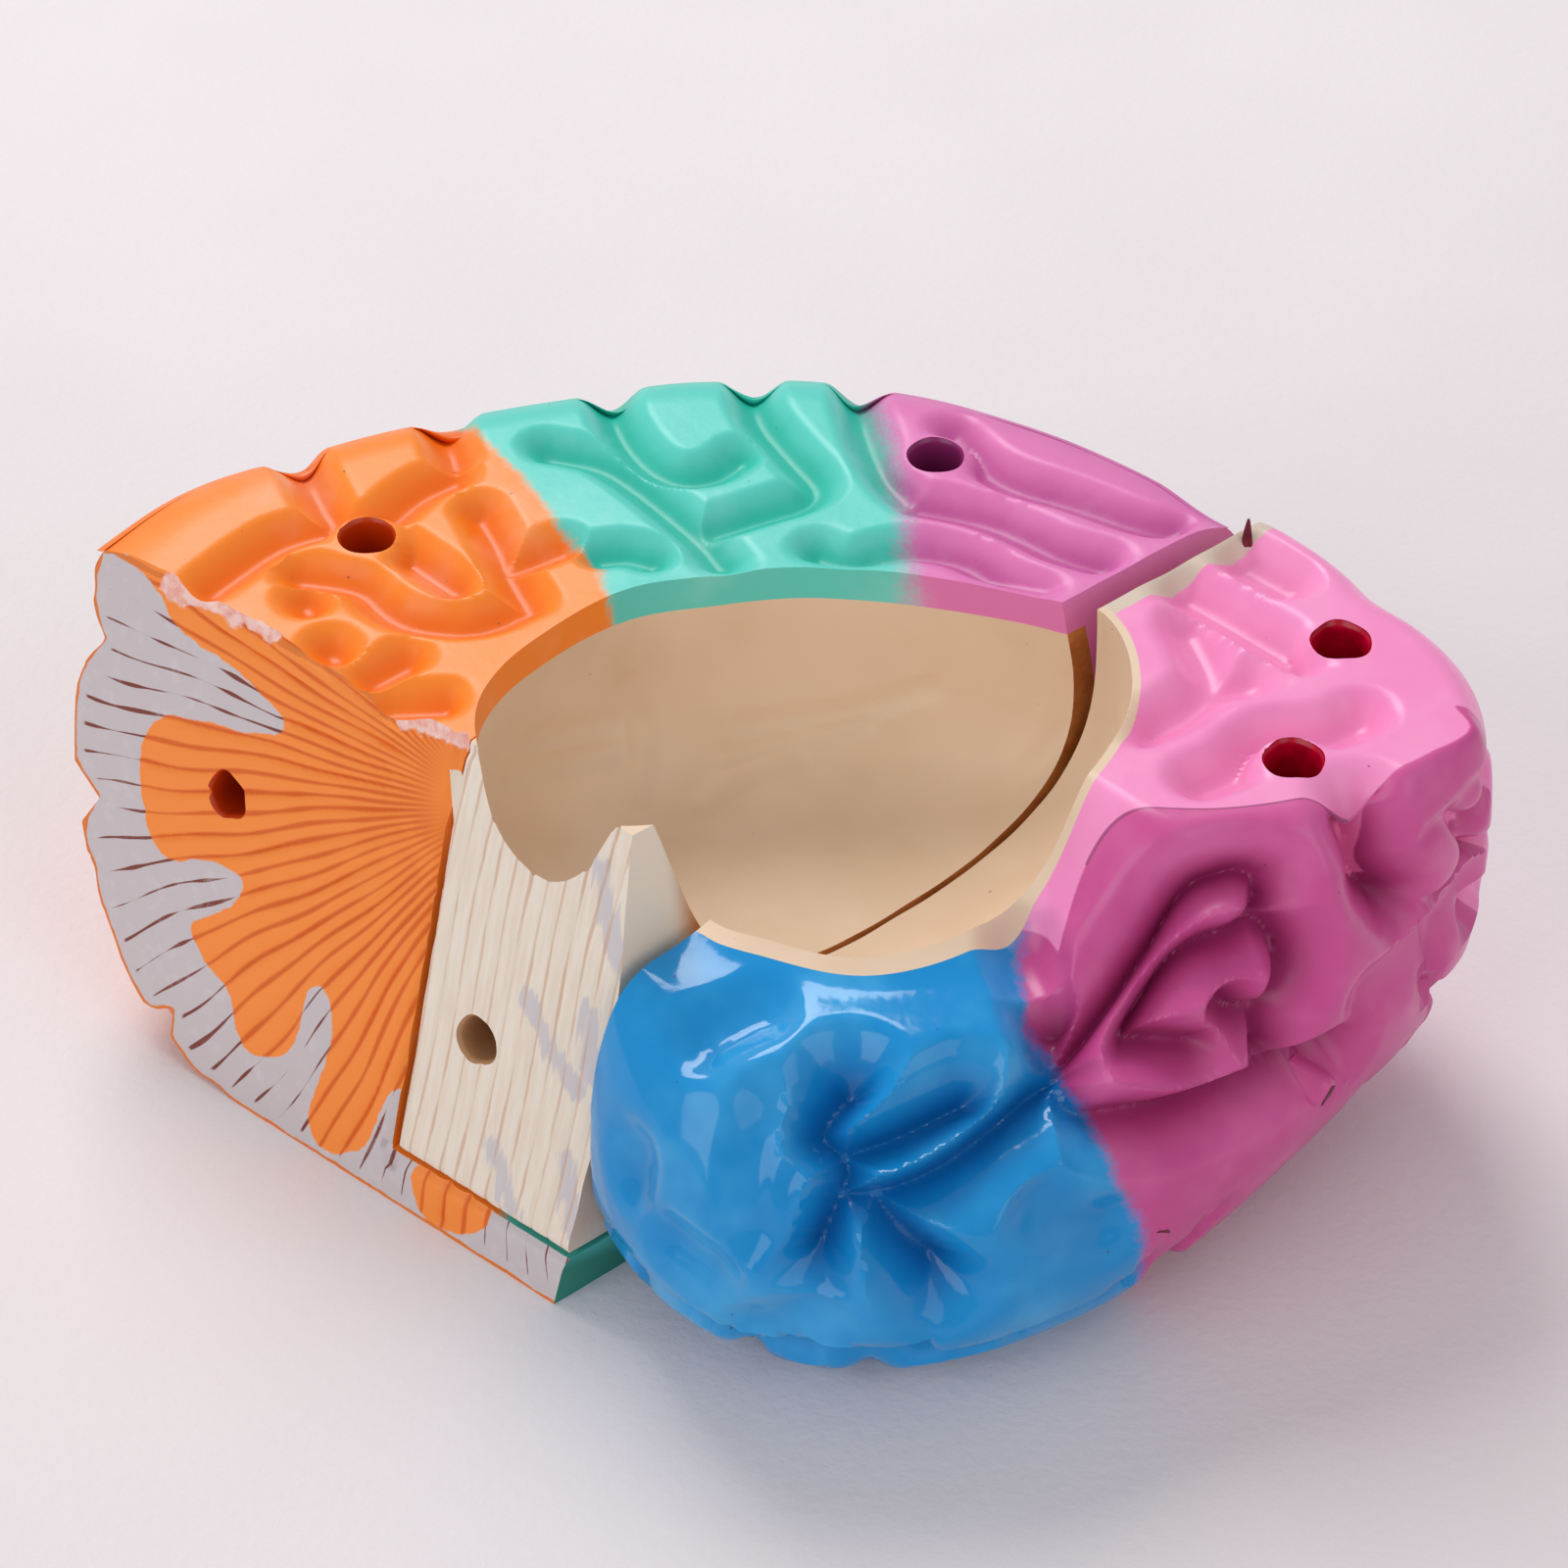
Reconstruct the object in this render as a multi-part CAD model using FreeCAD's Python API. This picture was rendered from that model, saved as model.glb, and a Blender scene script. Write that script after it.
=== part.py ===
import FreeCAD, Part
import math
import os

# Right half of a life-size teaching brain, cast in two painted sections that plug together.
# +X runs from the forehead to the back of the head, +Y to the crown, +Z out of the flat midline face.
# The half lies on its rounded outer side. All sizes are in millimetres.

# Heights above the table
MIDLINE_Z = 58.0
BOWL_FLOOR_Z = 30.0
CORE_BASE_Z = 6.0
TEMPORAL_DROP = 14.5

# Walls and edges
SLAB_THICKNESS = 4.6
LIP_WIDTH = 3.0
CORE_REACH = 3.0
MARGIN_FLARE_Z = 42.0
SEAM_GAP_HALF = 0.4

# Roundness of the skins and hollows: the lower the power, the squarer the corner
SIDE_POWER = 0.85
UNDER_POWER = 0.9
BOWL_POWER = 0.75
CORE_POWER = 0.35
CUP_LIFT_POWER = 0.55
CUP_START = 0.12

# Insula block: its left, right and lower edges on the cut face, its slanted shoulder and its depth
BLOCK_EDGES = (56.0, 90.0, 53.5)
BLOCK_SHOULDER_DOWN = 12.0
BLOCK_SHOULDER_SET = 1.0
BLOCK_DEPTH = 15.0
BLOCK_SHADOW_GAP = 1.0

# Folds of the cortex
MEDIAL_DEPTH = 4.2
MEDIAL_HALF_WIDTH = 2.3
TEMPORAL_DEPTH = 6.5
TEMPORAL_HALF_WIDTH = 3.2
HIDDEN_DEPTH = 4.2
HIDDEN_PITCH = 15.0
HIDDEN_WAVES = 7
HIDDEN_WIDTH = 0.75
HIDDEN_START = 4.0
HIDDEN_FADE = 8.0
NOTCH_DEPTH = 3.2
NOTCH_HALF_WIDTH = 2.6
NOTCH_RUN = 15.0
NOTCH_SPREAD = 5.0

# Sockets for the neighbouring sections of the full model
SOCKET_RADIUS = 3.0
SOCKET_DEPTH = 12.0
SOCKET_TIP = 1.5
SOCKET_CHAMFER = 0.6
FACE_SOCKET_RADIUS = 2.6

# Locating pins across the seam
PIN_RADIUS = 2.0
PIN_HELD = 12.0
PIN_PROUD = 9.0
PIN_CLEARANCE = 0.05
PIN_END_ROOM = 1.5
PIN_Z = 17.0
PIN_STATIONS = (16.0, -8.0)

# Slanted grooves scribed on the frontal cut face
FAN_GROOVES = 24
FAN_GROOVE_DEPTH = 0.9
FAN_GROOVE_WIDTH = 1.5
GRAIN_GROOVES = 7
GRAIN_GROOVE_DEPTH = 0.5
GRAIN_GROOVE_WIDTH = 1.2
GRAIN_FOOT = 3.0
GRAIN_TOP = 14.0
GROOVE_LIFT = 0.5

# Sprue stubs and spike left by the casting
STUB_RADIUS = 2.3
STUB_PROUD = 1.8
STUB_AIM_Z = 34.0

# Where the middle of the part's box lies, so that the origin ends up under it
BOX_CENTRE_X = -0.5
BOX_CENTRE_Y = -12.6

# Planes: the seam between the two sections and the frontal cut
SEAM_POINT = (10.8, -27.4)
SEAM_NORMAL_DEG = -38.3
SEAM_UPPER_SLOPE = 0.157
SEAM_LOWER_SLOPE = 0.057
CUT_POINT = (-78.3, -5.3)
CUT_NORMAL_DEG = 242.2
CUT_TILT_DEG = 16.0

# Centres that the outlines are measured round
FRONTAL_CENTRE = (-14.0, -6.0)
TEMPORAL_CENTRE = (22.0, -12.0)
BOWL_CENTRE = (6.0, -16.0)

# Outlines in plan (X, Y): the edge of the midline face, the widest contour and the patch it lies on
FRONTAL_MARGIN = [
    (62, 20), (46.5, 25.5), (37, 32.4), (22.3, 39), (7.5, 42.7), (-5.6, 43), (-16.9, 40.5), (-33, 33.7),
    (-46.7, 26.5), (-60.5, 17), (-72.7, 6), (-78.8, -5.3), (-84, -20), (-80, -40), (-62, -56), (-35, -68),
    (-5, -76), (25, -60), (50, -25)]
FRONTAL_WIDEST = [
    (66, 22), (48, 28), (38, 35), (23, 41), (8, 45), (-6, 45), (-17.5, 42.5), (-34, 35.5), (-48, 28),
    (-62, 18.5), (-74.5, 7), (-80.6, -5.3), (-84, -20), (-80, -42), (-62, -60), (-35, -74), (-5, -82),
    (30, -66), (55, -25)]
FRONTAL_PATCH = [
    (22, -8), (12, 10), (-14, 18), (-36, 10), (-52, -8), (-58, -32), (-42, -50), (-10, -64), (12, -50),
    (24, -28)]
TEMPORAL_MARGIN = [
    (10, 2), (30, 20), (48.7, 24), (53.5, 21), (58, 16.6), (60.5, 12.4), (67.2, 8.5), (72.2, 2.6),
    (75.6, -3.7), (77.5, -7.2), (73.3, -12.4), (65.3, -19.6), (53.4, -25.6), (44, -27.5), (39.5, -31),
    (37, -38), (31, -43), (23, -47), (15, -48.5), (7, -48), (0, -47), (-6, -44), (-14, -30)]
TEMPORAL_WIDEST = [
    (4, 8), (28, 28), (50, 29), (58, 26), (66, 20), (74, 13), (79, 7), (81, 0), (80.5, -7), (77, -15),
    (71.5, -24), (65, -33), (58.5, -41), (52, -50), (44, -58.5), (34, -66), (21, -71), (9, -70), (0, -66),
    (-8, -58), (-14, -46), (-20, -30)]
TEMPORAL_PATCH = [
    (8, -8), (22, 6), (42, 6), (52, -6), (50, -24), (38, -42), (22, -50), (8, -48), (-2, -36), (0, -20)]
BOWL_RIM = [
    (35.4, 4.4), (30.2, 5.6), (21, 6.7), (13, 6.9), (4.3, 6.2), (-7.8, 2.4), (-17.5, -2.4), (-24.4, -11),
    (-28, -18.7), (-28.9, -25), (-27.5, -31), (-24.5, -36.2), (-18.2, -40.9), (-13.7, -42), (-8.5, -41.2),
    (-2.5, -39.8), (2.5, -41.8), (8, -42.8), (17, -43.5), (23, -41.4), (32.5, -33), (37.5, -25), (40, -17),
    (40.3, -6)]

# Furrows of the midline face (X, Y) at MIDLINE_Z; those that reach the margin run on over its edge
MEDIAL_FURROWS = [
    [(-64, 18), (-60.7, 14.7), (-55.9, 7), (-53, 3.3), (-56.8, 1.1), (-59.5, -1.7), (-63.8, -10.4)],
    [(-53, 3.3), (-48, 4.5), (-45.5, 11.5), (-42.4, 14.9)],
    [(-45.3, 1), (-40.4, -2.4), (-37.1, -4.6)],
    [(-54.6, -6.1), (-47.7, -6.1), (-43.9, -10.1), (-39.5, -11.8), (-32.3, -11), (-28.1, -6)],
    [(-37.5, 8.8), (-34.1, 3.8), (-32.2, -0.1), (-28.1, -6)],
    [(-32.2, -0.1), (-26.9, 4.9)],
    [(-41.6, -21.8), (-39, -18.4)],
    [(-38.6, -26.2), (-32.7, -24.7)],
    [(-29, 37), (-26.8, 29.4), (-21.6, 22.5), (-17, 20.3), (-12.6, 22.1), (-10.7, 25.7)],
    [(-32.8, 22.1), (-26.8, 21.9), (-22, 18.5), (-17.5, 14.6), (-12, 9.9), (-9.7, 7), (-7.2, 4)],
    [(-10.8, 11.7), (-6.3, 15.4), (-1.3, 19.3), (-0.7, 22.4), (-5.2, 27.3), (-11.4, 35), (-13, 44)],
    [(0, 45), (0.3, 39.8), (3, 32.7), (6.2, 26.1), (9.5, 22.3)],
    [(1.9, 10.1), (5.7, 8.7), (11, 12.8), (17.8, 12.8), (22.8, 8.9), (27.4, 7.2)],
    [(12.7, 35.5), (17, 29.8), (21.7, 27.2), (28.7, 25.6), (36.4, 23), (40.4, 22.8)],
    [(11, 21.2), (18.6, 20.7), (24.8, 17.7), (28.2, 15.7), (33.8, 14.7)],
    [(-47, 32), (-46, 24), (-43, 18)]]
OCCIPITAL_FURROWS = [
    [(41.3, 13), (47, 9.5), (52.6, 5.9), (58.1, 2.3)],
    [(46.9, 19.9), (54.7, 15.3)],
    [(45.1, 5.1), (48, -0.4), (49, -4.3), (46.4, -9.4), (42.5, -13.4)],
    [(49, -4.3), (52.8, -2.4)],
    [(50.2, -20.6), (53.8, -17.4), (55.2, -13.2), (57.4, -11.2), (63.2, -9.4), (65.4, -6.6)]]
# Furrows of the lower face of the temporal section (X, Y, Z)
TEMPORAL_FURROWS = [
    [(66, -28, 48), (58, -30, 54), (50, -34, 54), (46, -39, 49), (42, -44, 44), (42, -50, 40)],
    [(60, -34, 46), (53, -39, 47), (51, -43, 44), (48, -46, 41), (56, -42, 36)],
    [(56, -40, 42), (59, -38, 40), (61, -36, 37)],
    [(60, -34, 46), (64, -32, 41), (65, -32, 34), (62, -36, 31)],
    [(66, -21, 57), (69, -24, 52), (71, -23, 46), (74, -20, 39)],
    [(42, -54, 37), (48, -52, 33), (56, -44, 29), (61, -37, 27), (66, -32, 26), (71, -24, 27)],
    [(36, -39, 44), (38, -46, 43), (39, -52, 40), (45, -54, 34), (50, -52, 22)],
    [(7, -48, 44), (11, -52, 43), (13, -58, 42), (15, -62, 40), (17, -66, 36), (17, -69, 31), (20, -70, 27)],
    [(21, -64, 39), (24, -63, 38), (28, -59, 40), (32, -56, 41)],
    [(21, -68, 32), (25, -68, 31), (30, -65, 33), (37, -58, 37)],
    [(27, -68, 30), (31, -67, 26), (35, -65, 20)],
    [(1, -55, 42), (-1, -60, 37), (-3, -62, 30)],
    [(-4, -62, 27), (4, -68, 21), (11, -70, 20), (17, -71, 20)],
    [(40, -61, 29), (45, -58, 25)]]

# Places of the sockets: on the midline face (X, Y), on the cut face (across it, down it)
FRONTAL_SOCKETS = [(-48.7, 1), (11.8, 29.3)]
OCCIPITAL_SOCKETS = [(62, 5.1), (59.5, -15.9)]
FACE_SOCKETS = [(23.8, 22.9), (64.6, 34.4)]
# Notches in the brow edge of the cut face (across it, down it) and the point that they run away from
EDGE_NOTCHES = [(2.1, 8.5), (6.1, 23.4), (11.3, 35.7), (18.5, 46), (23, 54)]
NOTCH_AIM = (50.0, 25.0)
# Fan of grooves on the cut face
FAN_FOCUS = (62.0, 6.0)
FAN_START = 9.0
FAN_SHORT = 29.0
FAN_LONG = 50.0
FAN_FIRST_DEG = 4.0
FAN_LAST_DEG = 80.0
# Stubs (X, Y, Z) and spike
STUBS = [(66, -28.5, 22), (51, -48, 17)]
SPIKE_PLACE = (49.3, 21.5)
SPIKE_RADIUS = 0.9
SPIKE_TIP_RADIUS = 0.25
SPIKE_HEIGHT = 2.4

# Facets of the folded skins: steps round the outline, and rows on the face, the side and the underside
FRONTAL_STEPS = 96
TEMPORAL_STEPS = 88
FACE_ROWS = 16
SIDE_ROWS = 14
UNDER_ROWS = 6
HUB_RADIUS = 3.0
CUP_STEPS = 40
CUP_ROWS = 12
OVERRUN = 2.0
FAR = 300.0

V = FreeCAD.Vector


def smooth(x):
    """Ease from 0 to 1 as x goes from 0 to 1."""
    x = min(max(x, 0.0), 1.0)
    return x * x * (3 - 2 * x)


def signed_degrees(angle):
    """The same angle between -180 and 180 degrees."""
    return (math.degrees(angle) + 180) % 360 - 180


class Outline:
    """A closed outline as a radius round a centre, with a cubic between its points."""

    def __init__(self, points, centre):
        rows = []
        for x, y in points:
            dx = x - centre[0]
            dy = y - centre[1]
            rows.append((math.atan2(dy, dx) % (2 * math.pi), math.hypot(dx, dy)))
        self.rows = sorted(rows)

    def radius(self, angle):
        rows = self.rows
        count = len(rows)
        angle = angle % (2 * math.pi)
        here = max((k for k in range(count) if rows[k][0] <= angle), default=count - 1)
        before = rows[here - 1]
        start = rows[here]
        end = rows[(here + 1) % count]
        after = rows[(here + 2) % count]
        turn = 2 * math.pi
        step = (end[0] - start[0]) % turn
        u = ((angle - start[0]) % turn) / step
        slope_in = (end[1] - before[1]) / (step + (start[0] - before[0]) % turn) * step
        slope_out = (after[1] - start[1]) / (step + (after[0] - end[0]) % turn) * step
        cubic = (2 * u**3 - 3 * u**2 + 1) * start[1] + (u**3 - 2 * u**2 + u) * slope_in
        return cubic + (3 * u**2 - 2 * u**3) * end[1] + (u**3 - u**2) * slope_out


def distance_to_route(point, route):
    """Shortest distance from a point to a chain of straight runs."""
    best = FAR
    for a, b in zip(route, route[1:]):
        run = b - a
        share = min(max((point - a).dot(run) / run.dot(run), 0.0), 1.0)
        best = min(best, (point - a - run * share).Length)
    return best


def furrow_depth(point, routes, depth, half_width):
    """How deep the furrows are at a point: a bell across each route, the deepest one wins."""
    deepest = 0.0
    for route in routes:
        gap = distance_to_route(point, route)
        if gap < 3 * half_width:
            deepest = max(deepest, depth * math.exp(-(gap / half_width) ** 2))
    return deepest


def hidden_folds(point):
    """Winding furrows of the outer side, along the zero lines of a sum of waves of one pitch."""
    wave = 2 * math.pi / HIDDEN_PITCH
    total = 0.0
    for k in range(HIDDEN_WAVES):
        turn = 2.4 * k
        lift = math.sin(1.7 * k)
        level = math.sqrt(1 - lift * lift)
        along = point.x * math.cos(turn) * level + point.y * math.sin(turn) * level + point.z * lift
        total += math.cos(wave * along + 1.3 * k * k)
    return HIDDEN_DEPTH * math.exp(-(total / HIDDEN_WIDTH) ** 2)


def profile_point(centre, angle, row, margin, widest, patch, face_z, flare_z):
    """A point of the plain skin: row 0 to 1 crosses the face, to 2 goes down the side, to 3 the underside."""
    if row <= 1:
        radius = HUB_RADIUS + (margin - HUB_RADIUS) * row
        z = MIDLINE_Z + (face_z - MIDLINE_Z) * smooth(row)
    elif row <= 2:
        q = (row - 1) * math.pi / 2
        radius = margin + (widest - margin) * math.sin(q) ** SIDE_POWER
        z = flare_z + (face_z - flare_z) * math.cos(q) ** SIDE_POWER
    else:
        q = (row - 2) * math.pi / 2
        radius = patch + (widest - patch) * max(math.cos(q), 0.0) ** UNDER_POWER
        z = flare_z * (1 - math.sin(q) ** UNDER_POWER)
    return V(centre[0] + radius * math.cos(angle), centre[1] + radius * math.sin(angle), z)


class Skin:
    """The outer skin of one section: three outlines, a face height and a height of the widest contour."""

    def __init__(self, centre, margin, widest, patch, steps):
        self.centre = centre
        self.margin = Outline(margin, centre)
        self.widest = Outline(widest, centre)
        self.patch = Outline(patch, centre)
        self.steps = steps

    def plain(self, angle, row):
        margin = self.margin.radius(angle)
        widest = self.widest.radius(angle)
        patch = self.patch.radius(angle)
        return profile_point(
            self.centre, angle, row, margin, widest, patch, self.face_z(angle), self.flare_z(angle))

    def solid(self):
        rows = [k / FACE_ROWS for k in range(FACE_ROWS)]
        rows += [1 + k / SIDE_ROWS for k in range(SIDE_ROWS)]
        rows += [2 + k / UNDER_ROWS for k in range(UNDER_ROWS + 1)]
        grid = []
        for step in range(self.steps):
            angle = 2 * math.pi * step / self.steps
            line = []
            for row in rows:
                point = self.plain(angle, row)
                if 0 < row < 3:
                    point = self.folded(angle, row, point)
                line.append(point)
            grid.append(line)
        return faceted_tube(grid)

    def folded(self, angle, row, point):
        small = 0.01
        low = max(row - small, 0.0)
        high = min(row + small, 3.0)
        across = self.plain(angle + small, row) - self.plain(angle - small, row)
        down = self.plain(angle, high) - self.plain(angle, low)
        outward = down.cross(across)
        outward.normalize()
        ease = smooth(row / 0.1) * smooth((3 - row) / 0.25)
        return point - outward * (self.depth(angle, point) * ease)


class FrontalSkin(Skin):
    def face_z(self, angle):
        return MIDLINE_Z

    def flare_z(self, angle):
        return MARGIN_FLARE_Z

    def depth(self, angle, point):
        shown = furrow_depth(point, MEDIAL_ROUTES, MEDIAL_DEPTH, MEDIAL_HALF_WIDTH)
        notch = furrow_depth(point, NOTCH_ROUTES, NOTCH_DEPTH, NOTCH_HALF_WIDTH)
        hidden = hidden_folds(point) * smooth((MIDLINE_Z - HIDDEN_START - point.z) / HIDDEN_FADE)
        return max(shown, notch, hidden)


class TemporalSkin(Skin):
    def face_z(self, angle):
        turned = signed_degrees(angle)
        return MIDLINE_Z - TEMPORAL_DROP * smooth((-32 - turned) / 34) * smooth((200 + turned) / 60)

    def flare_z(self, angle):
        return 34 - 15 * smooth((-5 - signed_degrees(angle)) / 40)

    def depth(self, angle, point):
        turned = signed_degrees(angle)
        shown = furrow_depth(point, OCCIPITAL_ROUTES, MEDIAL_DEPTH, MEDIAL_HALF_WIDTH)
        shown = max(shown, furrow_depth(point, TEMPORAL_ROUTES, TEMPORAL_DEPTH, TEMPORAL_HALF_WIDTH))
        behind = smooth((turned + 25) / 20) * smooth((MIDLINE_Z - HIDDEN_START - point.z) / HIDDEN_FADE)
        below = smooth((15 - point.z) / 6)
        return max(shown, hidden_folds(point) * max(behind, below))


def closed_tube(grid):
    """A smooth solid drawn over a grid of points, closed round on itself, with flat caps on its end rings."""
    rings = len(grid[0])
    surface = Part.BSplineSurface()
    surface.buildFromPolesMultsKnots(
        grid, [1] * (len(grid) + 1), [4] + [1] * (rings - 4) + [4], list(range(len(grid) + 1)),
        list(range(rings - 2)), True, False, 3, 3)
    side = surface.toShape()
    faces = [side]
    for edge in side.Edges:
        if edge.isClosed():
            level = Part.Plane(V(0, 0, edge.Vertexes[0].Z), V(0, 0, 1))
            faces.append(Part.Face(level, Part.Wire([edge])))
    shell = Part.makeShell(faces)
    shell.sewShape()
    solid = Part.makeSolid(shell)
    if solid.Volume < 0:
        solid.reverse()
    return solid


def faceted_tube(grid):
    """A solid of flat triangles over the same kind of grid, each end ring closed by a fan of triangles."""
    steps = len(grid)
    rings = len(grid[0])
    points = [point for line in grid for point in line]
    triangles = []
    for step in range(steps):
        beside = (step + 1) % steps
        for ring in range(rings - 1):
            near = step * rings + ring
            far = beside * rings + ring
            triangles.append((near, near + 1, far + 1))
            triangles.append((near, far + 1, far))
    for ring in (0, rings - 1):
        hub = len(points)
        points.append(sum((line[ring] for line in grid), V()) * (1 / steps))
        for step in range(steps):
            near = step * rings + ring
            far = (step + 1) % steps * rings + ring
            triangles.append((hub, near, far) if ring == 0 else (hub, far, near))
    skin = Part.Shape()
    skin.makeShapeFromMesh((points, triangles), 0.001)
    solid = Part.makeSolid(Part.makeShell(skin.Faces))
    if solid.Volume < 0:
        solid.reverse()
    return solid


def cup(reach, floor_z, top_z, power):
    """A smooth bowl shape: the rim outline widened by reach, drawn in towards the floor."""
    rim = Outline(BOWL_RIM, BOWL_CENTRE)
    grid = []
    base = 1 - math.cos(math.pi / 2 * CUP_START) ** CUP_LIFT_POWER
    for step in range(CUP_STEPS):
        angle = 2 * math.pi * step / CUP_STEPS
        heading = V(math.cos(angle), math.sin(angle), 0)
        widest = rim.radius(angle) + reach
        line = []
        for row in range(CUP_ROWS + 1):
            q = math.pi / 2 * (CUP_START + (1 - CUP_START) * row / CUP_ROWS)
            lift = 1 - max(math.cos(q), 0.0) ** CUP_LIFT_POWER
            z = floor_z + (top_z - floor_z) * (lift - base) / (1 - base)
            line.append(V(*BOWL_CENTRE, z) + heading * (widest * math.sin(q) ** power))
        grid.append(line)
    return closed_tube(grid)


def half_space(point, outward):
    """A large block on the outward side of a plane, for cutting away."""
    block = Part.makeBox(FAR, FAR, FAR, V(-FAR / 2, -FAR / 2, 0))
    block.Placement = FreeCAD.Placement(point, FreeCAD.Rotation(V(0, 0, 1), outward))
    return block


def seam_place(station, offset, z):
    """A point by its distance along the seam, its distance across it and its height."""
    flat = V(SEAM_POINT[0], SEAM_POINT[1], z)
    return flat + SEAM_ALONG * station + SEAM_NORMAL * offset


def face_point(across, down):
    """A point on the cut face, across it from the forehead edge and down it from the midline face."""
    return V(CUT_POINT[0], CUT_POINT[1], MIDLINE_Z) + CUT_ACROSS * across + CUT_DOWN * down


def notch_route(across, down):
    """A notch of the brow edge: from the cut face back into the section, spreading outwards."""
    start = face_point(across, down)
    outward = start - face_point(*NOTCH_AIM)
    outward.normalize()
    return [start + CUT_NORMAL * OVERRUN, start - CUT_NORMAL * NOTCH_RUN + outward * NOTCH_SPREAD]


def vee_groove(start, end, width, depth):
    """A tapered V cut on the cut face from a point to a wider end."""
    run = end - start
    side = run.cross(CUT_NORMAL)
    side.normalize()
    lift = CUT_NORMAL * GROOVE_LIFT
    corners = [end + side * (width / 2) + lift, end - side * (width / 2) + lift, end - CUT_NORMAL * depth]
    tip = start + lift
    faces = []
    for a, b in zip(corners, corners[1:] + corners[:1]):
        faces.append(Part.Face(Part.makePolygon([tip, a, b, tip])))
    faces.append(Part.Face(Part.makePolygon(corners + corners[:1])))
    wedge = Part.makeSolid(Part.makeShell(faces))
    if wedge.Volume < 0:
        wedge.reverse()
    return wedge


def level_route(route):
    """A furrow of the midline face at that height, carried over the edge where it runs out past the margin."""
    return [V(x, y, MIDLINE_Z) for x, y in route]


MEDIAL_ROUTES = [level_route(route) for route in MEDIAL_FURROWS]
OCCIPITAL_ROUTES = [level_route(route) for route in OCCIPITAL_FURROWS]
TEMPORAL_ROUTES = [[V(*point) for point in route] for route in TEMPORAL_FURROWS]

seam_turn = math.radians(SEAM_NORMAL_DEG)
SEAM_NORMAL = V(math.cos(seam_turn), math.sin(seam_turn), 0)
SEAM_ALONG = V(-math.sin(seam_turn), math.cos(seam_turn), 0)
cut_turn = math.radians(CUT_NORMAL_DEG)
cut_tilt = math.radians(CUT_TILT_DEG)
CUT_NORMAL = V(
    math.cos(cut_turn) * math.cos(cut_tilt), math.sin(cut_turn) * math.cos(cut_tilt), math.sin(cut_tilt))
CUT_ACROSS = V(-math.sin(cut_turn), math.cos(cut_turn), 0)
CUT_DOWN = CUT_ACROSS.cross(CUT_NORMAL)
if CUT_DOWN.z > 0:
    CUT_DOWN = CUT_DOWN * -1


NOTCH_ROUTES = [notch_route(*place) for place in EDGE_NOTCHES]


def cylinder(radius, start, direction, length):
    return Part.makeCylinder(radius, length, start, direction)


def socket(radius, mouth, outward):
    """What a peg socket takes away: a straight bore with a pointed end and a broken mouth edge."""
    foot = mouth - outward * SOCKET_DEPTH
    wide = radius + SOCKET_CHAMFER
    bore = cylinder(radius, foot, outward, SOCKET_DEPTH)
    tip = Part.makeCone(0, radius, SOCKET_TIP, foot - outward * SOCKET_TIP, outward)
    edge = Part.makeCone(radius, wide, SOCKET_CHAMFER, mouth - outward * SOCKET_CHAMFER, outward)
    return bore.fuse(tip).fuse(edge).fuse(cylinder(wide, mouth, outward, OVERRUN)).removeSplitter()


def block_prism(margin):
    """The insula block: its outline on the cut face, widened by margin, carried straight into the section."""
    left, right, bottom = BLOCK_EDGES
    above = -2 * OVERRUN
    corners = [
        face_point(left + BLOCK_SHOULDER_SET, above), face_point(left - margin, BLOCK_SHOULDER_DOWN),
        face_point(left - margin, bottom + margin), face_point(right, bottom + margin),
        face_point(right, above)]
    outline = Part.Face(Part.makePolygon(corners + corners[:1]))
    inward = V(-CUT_NORMAL.x, -CUT_NORMAL.y, 0)
    inward.normalize()
    outline.translate(inward * -OVERRUN)
    return outline.extrude(inward * (BLOCK_DEPTH + OVERRUN))


def fan_end(turn):
    """Length of the fan groove that leaves its focus at this angle below the level."""
    return FAN_SHORT + (FAN_LONG - FAN_SHORT) * smooth(turn / 40)


# Skins of both sections and the hollows in them
frontal_skin = FrontalSkin(FRONTAL_CENTRE, FRONTAL_MARGIN, FRONTAL_WIDEST, FRONTAL_PATCH, FRONTAL_STEPS)
temporal_skin = TemporalSkin(
    TEMPORAL_CENTRE, TEMPORAL_MARGIN, TEMPORAL_WIDEST, TEMPORAL_PATCH, TEMPORAL_STEPS)
bowl = cup(0, BOWL_FLOOR_Z, MIDLINE_Z + OVERRUN, BOWL_POWER)

# Frontal-parietal section, trimmed to the seam and to the frontal cut
seam_upright = half_space(seam_place(0, -SEAM_GAP_HALF, 0), SEAM_NORMAL)
seam_foot = seam_place(0, -SEAM_GAP_HALF, BOWL_FLOOR_Z)
seam_lean = half_space(seam_foot, SEAM_NORMAL + V(0, 0, SEAM_UPPER_SLOPE))
cut_side = half_space(V(CUT_POINT[0], CUT_POINT[1], MIDLINE_Z), CUT_NORMAL)
frontal = frontal_skin.solid().cut(seam_upright).cut(seam_lean).cut(cut_side)

block = block_prism(0)
frontal_hollow = cup(CORE_REACH, CORE_BASE_Z, MIDLINE_Z - SLAB_THICKNESS, CORE_POWER)
frontal_core = frontal.common(frontal_hollow.fuse(block)).cut(bowl)
frontal_casting = frontal.cut(frontal_hollow).cut(block_prism(BLOCK_SHADOW_GAP)).cut(bowl)

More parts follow.
